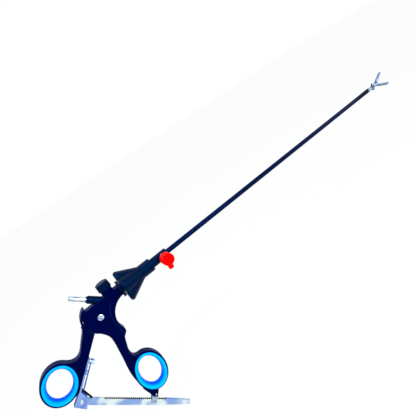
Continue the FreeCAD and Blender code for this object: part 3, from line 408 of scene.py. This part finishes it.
# %% Sizes of the knob
KNOB_SIZES = {
    "Rear X": -51.9, "Nose X": -30.4, "Shoulder Length": 3.0, "Rear Drop": 2.0,
    "Petal Offset": 8.5, "Petal Radius": 7.5, "Nose Offset": 0.4, "Nose Radius": 6.0,
    "Petal Turn": 70.0, "Web": 0.7, "Core Radius": 8.8, "Nose Core": 4.5,
    "Bore Radius": 4.25, "Hollow Radius": 5.2, "Hollow X": -42.3,
}
KNOB_ROWS, KNOB_COLUMNS = 128, 200
print("knob is", round(KNOB_SIZES["Nose X"] - KNOB_SIZES["Rear X"], 1), "mm long")

# %% [markdown]
# ## The knob's rule
# The rule is written as rows: the name of a result, the operation, and what it works on. A name
# may be an input of the tree or an earlier result, and a later row may improve on a result of
# the same name. Written this way, some ninety Math nodes stay as readable as a formula.

# %% Rule of the knob
def between(result, start, end, share):
    """The value that lies this share of the way from start to end."""
    return [("change", "SUBTRACT", end, start), ("change", "MULTIPLY", share, "change"),
            (result, "ADD", start, "change")]


def petal_skin(result, angle):
    """Where a ray, turned by this angle from a petal's middle, leaves the petal's circle."""
    return [("aside", "SINE", angle), ("aside", "MULTIPLY", "offset", "aside"),
            ("aside", "MULTIPLY", "aside", "aside"), ("under", "MULTIPLY", "radius", "radius"),
            ("under", "SUBTRACT", "under", "aside"), ("under", "MAXIMUM", "under", 0.0),
            ("root", "SQRT", "under"), ("ahead", "COSINE", angle),
            ("ahead", "MULTIPLY", "offset", "ahead"), (result, "ADD", "ahead", "root")]


KNOB_RULE = [("around", "ADD", "grid y", 0.5), ("around", "MULTIPLY", "around", 2 * math.pi),
             ("walk", "ADD", "grid x", 0.5), ("walk", "MULTIPLY", "walk", 4.0)]
for number, leg in enumerate(("along bore", "out at rear", "over petals", "in at nose")):
    KNOB_RULE += [(leg, "SUBTRACT", "walk", float(number)), (leg, "MAXIMUM", leg, 0.0),
                  (leg, "MINIMUM", leg, 1.0)]
# Places crowd towards the rear, where the petals round over
KNOB_RULE += [("crowded", "POWER", "over petals", 1.7),
              ("travel", "SUBTRACT", "crowded", "along bore"),
              ("length", "SUBTRACT", "Nose X", "Rear X"), ("travel", "MULTIPLY", "length", "travel"),
              ("x", "ADD", "Nose X", "travel")]
# Circle of a petal at this place
KNOB_RULE += [("widest", "ADD", "Rear X", "Shoulder Length"), ("run", "SUBTRACT", "Nose X", "widest"),
              ("taper", "SUBTRACT", "x", "widest"), ("taper", "DIVIDE", "taper", "run"),
              ("taper", "MAXIMUM", "taper", 0.0)]
KNOB_RULE += between("offset", "Petal Offset", "Nose Offset", "taper")
KNOB_RULE += between("radius", "Petal Radius", "Nose Radius", "taper")
# The shoulder rounds over like a quarter of an ellipse
KNOB_RULE += [("behind", "SUBTRACT", "widest", "x"), ("behind", "DIVIDE", "behind", "Shoulder Length"),
              ("behind", "MAXIMUM", "behind", 0.0), ("behind", "MINIMUM", "behind", 1.0),
              ("drop", "MULTIPLY", "behind", "behind"), ("drop", "SUBTRACT", 1.0, "drop"),
              ("drop", "SQRT", "drop"), ("drop", "SUBTRACT", 1.0, "drop"),
              ("drop", "MULTIPLY", "Rear Drop", "drop"), ("radius", "SUBTRACT", "radius", "drop")]
# Angle from the nearest petal, and the skin of that petal and of its neighbour
KNOB_RULE += [("step", "DIVIDE", 2 * math.pi, "Petals"),
              ("first", "MULTIPLY", "Petal Turn", math.pi / 180),
              ("aside turn", "SUBTRACT", "around", "first"), ("turns", "MULTIPLY", "step", 10.5),
              ("aside turn", "ADD", "aside turn", "turns"),
              ("aside turn", "FLOORED_MODULO", "aside turn", "step"),
              ("half step", "MULTIPLY", "step", 0.5), ("own turn", "SUBTRACT", "aside turn", "half step"),
              ("next turn", "ABSOLUTE", "own turn"), ("next turn", "SUBTRACT", "step", "next turn")]
KNOB_RULE += petal_skin("own", "own turn") + petal_skin("beside", "next turn")
KNOB_RULE += [("skin", "SMOOTH_MAX", "own", "beside", "Web")]
KNOB_RULE += between("core", "Core Radius", "Nose Core", "taper")
KNOB_RULE += [("skin", "MAXIMUM", "skin", "core")]
# Bore with its hollow, and the way out to the skin and back
KNOB_RULE += [("hollow", "GREATER_THAN", "x", "Hollow X")]
KNOB_RULE += between("bore", "Bore Radius", "Hollow Radius", "hollow")
KNOB_RULE += [("out share", "SUBTRACT", "out at rear", "in at nose")]
KNOB_RULE += between("r", "bore", "skin", "out share")
# Back to metres
KNOB_RULE += [("y", "SINE", "around"), ("y", "MULTIPLY", "r", "y"), ("y", "MULTIPLY", "y", -MM),
              ("z", "COSINE", "around"), ("z", "MULTIPLY", "r", "z"), ("z", "MULTIPLY", "z", MM),
              ("x", "MULTIPLY", "x", MM)]
print(len(KNOB_RULE), "rows in the knob's rule")

# %% [markdown]
# ## From rows to a tree
# One loop turns each row into a Math node and links it to what it names. The results move the
# grid's points, the seams are merged, and the tree ends in Realize Instances and Set Material.
# An empty mesh then carries the tree once, and its result is kept as a plain mesh.

# %% Knob tree
def knob_tree():
    tree = bpy.data.node_groups.new("petal_knob", "GeometryNodeTree")
    tree.interface.new_socket("Geometry", in_out="OUTPUT", socket_type="NodeSocketGeometry")
    tree.interface.new_socket("Petals", in_out="INPUT", socket_type="NodeSocketInt")
    for name in KNOB_SIZES:
        tree.interface.new_socket(name, in_out="INPUT", socket_type="NodeSocketFloat")
    tree.interface.new_socket("Finish", in_out="INPUT", socket_type="NodeSocketMaterial")
    given = add_node(tree, "NodeGroupInput")
    grid = add_node(tree, "GeometryNodeMeshGrid", None,
                    {"Size X": 1.0, "Size Y": 1.0, "Vertices X": KNOB_ROWS + 1,
                     "Vertices Y": KNOB_COLUMNS + 1})
    spot = add_node(tree, "GeometryNodeInputPosition")
    axes = add_node(tree, "ShaderNodeSeparateXYZ", None, {"Vector": (spot, "Position")})
    found = {name: (given, name) for name in ("Petals", *KNOB_SIZES)}
    found["grid x"], found["grid y"] = (axes, "X"), (axes, "Y")
    for result, operation, *terms in KNOB_RULE:
        inputs = {i: found[term] if term in found else term for i, term in enumerate(terms)}
        node = add_node(tree, "ShaderNodeMath", {"operation": operation, "label": result}, inputs)
        found[result] = (node, "Value")
    moved = add_node(tree, "ShaderNodeCombineXYZ", None,
                     {"X": found["x"], "Y": found["y"], "Z": found["z"]})
    shaped = add_node(tree, "GeometryNodeSetPosition", None,
                      {"Geometry": (grid, "Mesh"), "Position": (moved, "Vector")})
    merged = add_node(tree, "GeometryNodeMergeByDistance", None,
                      {"Geometry": (shaped, "Geometry"), "Distance": 1e-6})
    real = add_node(tree, "GeometryNodeRealizeInstances", None, {"Geometry": (merged, "Geometry")})
    dressed = add_node(tree, "GeometryNodeSetMaterial", None,
                       {"Geometry": (real, "Geometry"), "Material": (given, "Finish")})
    add_node(tree, "NodeGroupOutput", None, {"Geometry": (dressed, "Geometry")})
    return tree


def grow(name, tree, inputs):
    """Runs a tree once with these inputs and returns the plain mesh."""
    holder = bpy.data.objects.new(name + "_seed", bpy.data.meshes.new(name + "_seed"))
    bpy.context.scene.collection.objects.link(holder)
    modifier = holder.modifiers.new("grow", "NODES")
    modifier.node_group = tree
    for socket in tree.interface.items_tree:
        if socket.in_out == "INPUT":
            modifier[socket.identifier] = inputs[socket.name]
    graph = bpy.context.evaluated_depsgraph_get()
    graph.update()
    mesh = bpy.data.meshes.new_from_object(holder.evaluated_get(graph))
    holder.modifiers.remove(modifier)
    bpy.data.objects.remove(holder)
    builder = bmesh.new()
    builder.from_mesh(mesh)
    return closed_mesh(name, builder)


knob_mesh = grow("petal_knob", knob_tree(), {"Petals": 5, **KNOB_SIZES, "Finish": knob_plastic})
settle("petal_knob", knob_mesh, knob_plastic, "shaft", ["rotation_knob"], 50)

# %% [markdown]
# ## Moulded rim on the handle
# A low bead runs along the front edge of the handle, from the neck round the finger bay and
# down the leg, and catches a thin line of light. A bevel of the solid can't make it, because it
# stands on the flat face. It follows a path, so Geometry Nodes turn a few points, chosen along
# the handle's edge in millimetres, into a smooth curve and sweep a small round section along
# it, on both faces.

# %% Rim tree
RIM_SIZES = {"Bead Radius": 0.3 * MM, "Face Place": 4.72 * MM}
RIM_ROUTE = [(-67.0, -2.5), (-70.0, -6.0), (-72.9, -11.0), (-74.5, -16.6), (-74.9, -22.0),
             (-74.4, -27.2), (-74.5, -31.6), (-75.9, -35.6), (-78.2, -41.0), (-80.2, -47.3),
             (-81.2, -53.0)]
RIM_STEPS, RIM_SIDES = 120, 12


def rim_tree():
    tree = bpy.data.node_groups.new("moulded_rim", "GeometryNodeTree")
    tree.interface.new_socket("Geometry", in_out="OUTPUT", socket_type="NodeSocketGeometry")
    for name in RIM_SIZES:
        tree.interface.new_socket(name, in_out="INPUT", socket_type="NodeSocketFloat")
    tree.interface.new_socket("Finish", in_out="INPUT", socket_type="NodeSocketMaterial")
    given = add_node(tree, "NodeGroupInput")
    line = add_node(tree, "GeometryNodeMeshLine", None, {"Count": len(RIM_ROUTE)})
    shaped = (line, "Mesh")
    index = add_node(tree, "GeometryNodeInputIndex")
    depth = add_node(tree, "ShaderNodeMath", {"operation": "MULTIPLY"},
                     {0: (given, "Face Place"), 1: -1.0})
    for number, (x, z) in enumerate(RIM_ROUTE):
        # Inputs 2 and 3 of Compare are its two whole numbers
        this = add_node(tree, "FunctionNodeCompare", {"data_type": "INT", "operation": "EQUAL"},
                        {2: (index, "Index"), 3: number})
        spot = add_node(tree, "ShaderNodeCombineXYZ", None,
                        {"X": x * MM, "Y": (depth, "Value"), "Z": z * MM})
        moved = add_node(tree, "GeometryNodeSetPosition", None,
                         {"Geometry": shaped, "Selection": (this, "Result"),
                          "Position": (spot, "Vector")})
        shaped = (moved, "Geometry")
    path = add_node(tree, "GeometryNodeMeshToCurve", None, {"Mesh": shaped})
    smooth = add_node(tree, "GeometryNodeCurveSplineType", {"spline_type": "CATMULL_ROM"},
                      {"Curve": (path, "Curve")})
    even = add_node(tree, "GeometryNodeResampleCurve", None,
                    {"Curve": (smooth, "Curve"), "Count": RIM_STEPS})
    section = add_node(tree, "GeometryNodeCurvePrimitiveCircle", None,
                       {"Resolution": RIM_SIDES, "Radius": (given, "Bead Radius")})
    bead = add_node(tree, "GeometryNodeCurveToMesh", None,
                    {"Curve": (even, "Curve"), "Profile Curve": (section, "Curve"),
                     "Fill Caps": True})
    other = add_node(tree, "GeometryNodeTransform", None,
                     {"Geometry": (bead, "Mesh"), "Scale": (1.0, -1.0, 1.0)})
    both = add_node(tree, "GeometryNodeJoinGeometry", None, {"Geometry": (bead, "Mesh")})
    tree.links.new(other.outputs["Geometry"], both.inputs["Geometry"])
    real = add_node(tree, "GeometryNodeRealizeInstances", None, {"Geometry": (both, "Geometry")})
    dressed = add_node(tree, "GeometryNodeSetMaterial", None,
                       {"Geometry": (real, "Geometry"), "Material": (given, "Finish")})
    add_node(tree, "NodeGroupOutput", None, {"Geometry": (dressed, "Geometry")})
    return tree


# The bead's lighter finish is a painted highlight along the handle's edge.
rim_mesh = grow("handle_rim", rim_tree(), {**RIM_SIZES, "Finish": rim_plastic})
settle("handle_rim", rim_mesh, rim_plastic, "handle", [], 60)

# %% [markdown]
# ## Soft cushions in the rings
# Each ring holds an elastomer grommet: a flared throat, a lip that lies over the ring on both
# sides and a groove that grips it. A scaled torus has no groove, and its section would change
# round the ellipse. So bmesh walks one section round the hole. The throat is drawn as a soft
# curve, and the lip is crowned. Sizes are in millimetres.

# %% Section of a cushion
LIP_HEIGHT, LIP_OUT, LIP_EDGE = 0.4, 3.8, 0.4
FLARE_OUT, FLARE_DEEP = 3.2, 4.0
LIP_SEAT, RING_WALL = 0.6, 2.0


def cushion_section(ring_half):
    """Closed section: distance out from the hole's wall, and place across the ring."""
    half = ring_half + LIP_HEIGHT
    upper = []
    for i in range(21):
        angle = math.radians(180 - 90 * i / 20)
        upper.append((FLARE_OUT + FLARE_OUT * math.cos(angle),
                      half - FLARE_DEEP + FLARE_DEEP * math.sin(angle)))
    for i in range(9):
        angle = math.radians(90 - 90 * i / 8)
        upper.append((LIP_OUT - LIP_EDGE + LIP_EDGE * math.cos(angle),
                      half - LIP_EDGE + LIP_EDGE * math.sin(angle)))
    upper += [(LIP_OUT, ring_half - LIP_SEAT), (RING_WALL, ring_half - LIP_SEAT)]
    lower = [(out, -across) for out, across in reversed(upper)]
    throat = [(0.0, (half - FLARE_DEEP) * (i / 2 - 1)) for i in range(1, 4)]
    return upper + lower + throat


print("points in the section:", len(cushion_section(4.8)))

# %% [markdown]
# ## Sweep the section round each ring
# The section is set out along both axes of an ellipse that has the size of the finger hole, so
# the cushion keeps its wall all the way round. Each ring leans by its own angle.

# %% Ring cushions
def sweep_cushion(name, centre, hole, lean_degrees, ring_half, steps=160):
    builder = bmesh.new()
    section = cushion_section(ring_half)
    lean = math.radians(lean_degrees)
    rings = []
    for step in range(steps):
        t = 2 * math.pi * step / steps
        ring = []
        for out, across in section:
            u = (hole[0] + out) * math.cos(t)
            v = (hole[1] + out) * math.sin(t)
            x = centre[0] + u * math.cos(lean) + v * math.sin(lean)
            z = centre[1] - u * math.sin(lean) + v * math.cos(lean)
            ring.append(builder.verts.new((x * MM, across * MM, z * MM)))
        rings.append(ring)
    count = len(section)
    for step in range(steps):
        here, there = rings[step], rings[(step + 1) % steps]
        for i in range(count):
            after = (i + 1) % count
            builder.faces.new((here[i], here[after], there[after], there[i]))
    return closed_mesh(name, builder)


finger_mesh = sweep_cushion("finger_cushion", centre=(-76.7, -81.0), hole=(10.1, 15.5),
                            lean_degrees=4.5, ring_half=4.8)
thumb_mesh = sweep_cushion("thumb_cushion", centre=(-139.2, -32.6), hole=(10.6, 13.5),
                           lean_degrees=33.0, ring_half=4.4)
settle("finger_cushion", finger_mesh, cushion_blue, "handle",
       ["finger_ring_insert"])
settle("thumb_cushion", thumb_mesh, cushion_blue, "thumb_lever",
       ["thumb_ring_insert"])

# %% [markdown]
# ## Turned rubber pieces
# The cap of the flushing port and the rod's seal are round silicone mouldings. The Spin tool
# could turn them, but it leaves doubled points on the axis. So a small function turns a section
# about an axis and closes it there with one point. A second one rounds a section's corners,
# because moulded rubber has no sharp edge.

# %% Turning a section
def turn_section(builder, section, start, axis, steps=96):
    """Turns (place along the axis, radius) round the axis. It's closed, or ends on the axis."""
    along = Vector(axis).normalized()
    across = along.orthogonal().normalized()
    third = along.cross(across)
    rings = []
    for place, radius in section:
        middle = Vector(start) + along * place
        if radius < 1e-9:
            rings.append([builder.verts.new(middle * MM)])
            continue
        ring = []
        for step in range(steps):
            t = 2 * math.pi * step / steps
            spoke = across * math.cos(t) + third * math.sin(t)
            ring.append(builder.verts.new((middle + spoke * radius) * MM))
        rings.append(ring)
    for a, b in zip(rings, rings[1:]):
        for step in range(steps):
            after = (step + 1) % steps
            corners = [a[step % len(a)], a[after % len(a)], b[after % len(b)], b[step % len(b)]]
            builder.faces.new(list(dict.fromkeys(corners)))


def round_corner(a, corner, b, radius, parts=5):
    """Points of a rounded corner between two straight runs of a section."""
    a, corner, b = Vector(a), Vector(corner), Vector(b)
    into, out = (a - corner).normalized(), (b - corner).normalized()
    points = []
    for i in range(parts + 1):
        share = i / parts
        first = corner + into * radius * (1 - share)
        second = corner + out * radius * share
        points.append(tuple(first.lerp(second, share)))
    return points


print("turning helpers ready")

# %% [markdown]
# ## Cap of the flushing port
# The cap has a skirt that grips the port, a waist for the fingertips and a disc in front with a
# shallow dish. Inside, a short plug closes the port's bore. A flat pull tab hangs from the
# skirt. Places are distances from the shaft's axis, in millimetres.

# %% Cap and its tab
PORT_X = -6.2
CAP_BASE, CAP_TALL, CAP_RADIUS, CAP_WAIST, CAP_BORE = 12.3, 8.6, 5.9, 5.35, 3.9
SKIRT_END, DISC_START, CAP_FRONT = CAP_BASE + 2.2, CAP_BASE + CAP_TALL - 2.6, CAP_BASE + CAP_TALL
WAIST_RUN, DISH_RADIUS, DISH_DEEP = 0.4, 4.2, 0.35
BORE_END, PLUG_RADIUS, PLUG_END = 16.65, 1.8, 13.5
TAB_LEAN, TAB_HALF, TAB_ROOT, TAB_END, TAB_ROUND = math.radians(3.0), 2.5, -4.8, -9.8, 1.6
TAB_EDGE, TAB_BEVEL = 0.9, 0.25
TAB_LAYERS = ((-14.25, TAB_BEVEL), (-14.0, 0.0), (-12.6, 0.0), (-12.35, TAB_BEVEL))


def cap_outside():
    skirt = (CAP_BASE, CAP_RADIUS)
    skirt_rim = (SKIRT_END, CAP_RADIUS)
    waist = (SKIRT_END + WAIST_RUN, CAP_WAIST)
    waist_end = (DISC_START - WAIST_RUN, CAP_WAIST)
    disc_rim = (DISC_START, CAP_RADIUS)
    section = [(CAP_BASE, CAP_BORE)]
    section += round_corner((CAP_BASE, CAP_BORE), skirt, skirt_rim, 0.5)
    section += round_corner(skirt, skirt_rim, waist, 0.25)
    section += round_corner(skirt_rim, waist, waist_end, 0.25)
    section += round_corner((SKIRT_END, CAP_WAIST), waist_end, disc_rim, 0.25)
    section += round_corner(waist_end, disc_rim, (CAP_FRONT, CAP_RADIUS), 0.25)
    section += round_corner(disc_rim, (CAP_FRONT - 0.15, CAP_RADIUS), (CAP_FRONT, 0), 0.9)
    section += [(CAP_FRONT - 0.05, DISH_RADIUS), (CAP_FRONT - DISH_DEEP, DISH_RADIUS - 0.3),
                (CAP_FRONT - DISH_DEEP, 0.0)]
    return section


def pull_tab(builder):
    """A flat tongue with a rounded end, hanging from the skirt."""
    outline = [(-TAB_HALF, TAB_ROOT)]
    for middle, first in ((-TAB_EDGE, 180), (TAB_EDGE, 270)):
        for i in range(7):
            angle = math.radians(first + 90 * i / 6)
            outline.append((middle + TAB_ROUND * math.cos(angle),
                            TAB_END + TAB_ROUND * math.sin(angle)))
    outline.append((TAB_HALF, TAB_ROOT))
    levels = []
    for y, inset in TAB_LAYERS:
        level = []
        for x, z in outline:
            x *= 1 - inset / TAB_HALF
            z += inset if z < TAB_END + TAB_ROUND else 0
            px = PORT_X + x * math.cos(TAB_LEAN) + z * math.sin(TAB_LEAN)
            pz = -x * math.sin(TAB_LEAN) + z * math.cos(TAB_LEAN)
            level.append(builder.verts.new((px * MM, y * MM, pz * MM)))
        levels.append(level)
    count = len(outline)
    for a, b in zip(levels, levels[1:]):
        for i in range(count):
            builder.faces.new((a[i], a[(i + 1) % count], b[(i + 1) % count], b[i]))
    builder.faces.new(levels[0])
    builder.faces.new(list(reversed(levels[-1])))


cap_builder = bmesh.new()
cap_inside = [(CAP_BASE, CAP_BORE), (BORE_END, CAP_BORE), (BORE_END, PLUG_RADIUS),
              (PLUG_END, PLUG_RADIUS), (PLUG_END, 0.0)]
for section in (cap_outside(), cap_inside):
    turn_section(cap_builder, section, (PORT_X, 0, 0), (0, -1, 0))
pull_tab(cap_builder)
settle("silicone_cap", closed_mesh("silicone_cap", cap_builder), red_silicone,
       "port_cap", ["luer_cap"])

# %% [markdown]
# ## Seal round the drive rod
# The seal is a washer inside the hub with a soft lip round the rod, and keeps the gas in. It is
# hidden in the finished grasper, but a pose or a cut shows it. It is turned like the cap.

# %% Rod seal
SEAL_START, SEAL_END, SEAL_RADIUS, ROD_HOLE = -26.0, -24.52, 2.58, 0.95
seal_section = [(SEAL_START, SEAL_RADIUS), (SEAL_END, SEAL_RADIUS), (SEAL_END, 1.5),
                (SEAL_END - 0.3, 1.2), (SEAL_END - 0.6, ROD_HOLE),
                (SEAL_START + 0.2, ROD_HOLE), (SEAL_START, 1.3), (SEAL_START, SEAL_RADIUS)]
seal_builder = bmesh.new()
turn_section(seal_builder, seal_section, (0, 0, 0), (1, 0, 0), 48)
settle("rod_lip_seal", closed_mesh("rod_lip_seal", seal_builder), pale_silicone,
       "shaft", ["hub_seal"])

# %% [markdown]
# ## Floor and backdrop
# A plain white floor lies under the lowest point. Product pictures of instruments are cut out on
# white, and that could be done after the render. Here the floor itself looks white to the camera
# while a small share of its real surface is left, which shows a soft shadow. What the camera
# sees and what lights the object are kept apart with Light Path.

# %% Floor
GLOWING_SHARE = 0.955


def white_floor(z, size):
    mesh = bpy.data.meshes.new("studio_floor")
    half = size / 2
    corners = [(-half, -half, z), (half, -half, z), (half, half, z), (-half, half, z)]
    mesh.from_pydata(corners, [], [(0, 1, 2, 3)])
    floor = bpy.data.objects.new("studio_floor", mesh)
    bpy.context.scene.collection.objects.link(floor)
    material = bpy.data.materials.new("white studio paper")
    material.use_nodes = True
    tree = material.node_tree
    tree.nodes.clear()
    paper = add_node(tree, "ShaderNodeBsdfDiffuse", None, {"Color": (0.8, 0.8, 0.8, 1.0)})
    glow = add_node(tree, "ShaderNodeEmission", None, {"Color": (1, 1, 1, 1), "Strength": 1.0})
    rays = add_node(tree, "ShaderNodeLightPath")
    clear = add_node(tree, "ShaderNodeMath", {"operation": "MAXIMUM"},
                     {0: (rays, "Is Camera Ray"), 1: (rays, "Is Glossy Ray")})
    seen = add_node(tree, "ShaderNodeMath", {"operation": "MAXIMUM"},
                    {0: (clear, "Value"), 1: (rays, "Is Transmission Ray")})
    share = add_node(tree, "ShaderNodeMath", {"operation": "MULTIPLY"},
                     {0: (seen, "Value"), 1: GLOWING_SHARE})
    mix = add_node(tree, "ShaderNodeMixShader", None,
                   {"Fac": (share, "Value"), 1: (paper, "BSDF"), 2: (glow, "Emission")})
    add_node(tree, "ShaderNodeOutputMaterial", None, {"Surface": (mix, "Shader")})
    mesh.materials.append(material)


floor_z = cad_box[0][2] - 0.5 * MM
white_floor(floor_z, 12.0)
print("floor at z", round(floor_z, 4))

# %% [markdown]
# ## World
# The world is white to the camera and in mirrorings, and a weaker, slightly blue light for
# everything else, so that the blacks stay deep.

# %% World
world = bpy.data.worlds.new("white studio")
world.use_nodes = True
bpy.context.scene.world = world
tree = world.node_tree
tree.nodes.clear()
rays = add_node(tree, "ShaderNodeLightPath")
soft = add_node(tree, "ShaderNodeBackground", None,
                {"Color": (0.86, 0.92, 1.0, 1.0), "Strength": 0.42})
seen = add_node(tree, "ShaderNodeBackground", None, {"Color": (1, 1, 1, 1), "Strength": 1.0})
clear = add_node(tree, "ShaderNodeMath", {"operation": "MAXIMUM"},
                 {0: (rays, "Is Camera Ray"), 1: (rays, "Is Glossy Ray")})
mix = add_node(tree, "ShaderNodeMixShader", None,
               {"Fac": (clear, "Value"), 1: (soft, "Background"), 2: (seen, "Background")})
add_node(tree, "ShaderNodeOutputWorld", None, {"Surface": (mix, "Shader")})
print("world ready")

# %% [markdown]
# ## Studio lamps
# Four soft boxes light the grasper: a large one high above, a small one at the front left for
# the housing, a large one far to the right and a narrow one beside the shaft, which draws the
# streak on the tube. Points of light would be simpler, but steel and glossy plastic show the
# shape of a lamp, and a box gives them clean, wide gradients.

# %% Lamps
def soft_box(name, place, target, size, power, colour="#FFFFFF"):
    light = bpy.data.lights.new(name, "AREA")
    light.shape = "RECTANGLE"
    light.size, light.size_y = size
    light.energy = power
    light.color = hex_linear(colour)[:3]
    lamp = bpy.data.objects.new(name, light)
    bpy.context.scene.collection.objects.link(lamp)
    lamp.location = place
    aim = Vector(target) - Vector(place)
    lamp.rotation_euler = aim.to_track_quat("-Z", "Y").to_euler()


soft_box("overhead box", (0.0, -0.1, 1.0), (0.05, 0.0, 0.0), (1.2, 0.8), 8.0, "#DCEBFF")
soft_box("front left box", (-0.25, -0.35, 0.45), (-0.04, 0.0, 0.0), (0.16, 0.08), 3.0)
soft_box("front right box", (0.9, -0.8, 0.3), (0.1, 0.0, 0.0), (0.6, 0.6), 4.0, "#E6F0FF")
soft_box("shaft box", (0.24, -0.65, 0.22), (0.05, 0.0, 0.0), (0.3, 0.05), 4.6, "#BFDCFF")
print("lamps ready")

# %% [markdown]
# ## Camera
# The photograph was taken from close by, a little above the handle and to its left, with the
# shaft running away to the upper right. Place and axes were fitted to the picture, and
# are written as three directions, because angles would hide which way is which.

# %% Camera
FOCAL_PIXELS, PICTURE_PIXELS, SENSOR_MM = 350, 416, 36.0
camera_data = bpy.data.cameras.new("portrait camera")
camera = bpy.data.objects.new("portrait camera", camera_data)
bpy.context.scene.collection.objects.link(camera)
right = Vector((0.74150074, -0.43161337, -0.51369889))
up = Vector((0.58375615, 0.03756906, 0.81105939))
back = Vector((-0.33076489, -0.90127602, 0.27981445))
turn = Matrix((right, up, back)).transposed().to_4x4()
camera.matrix_world = Matrix.Translation((-0.056916, -0.317334, 0.107343)) @ turn
camera_data.sensor_width = SENSOR_MM
camera_data.lens = FOCAL_PIXELS / PICTURE_PIXELS * SENSOR_MM
camera_data.clip_start = 0.01
bpy.context.scene.camera = camera
bpy.context.scene.view_settings.view_transform = "Standard"
print("camera at", [round(v, 4) for v in camera.location])
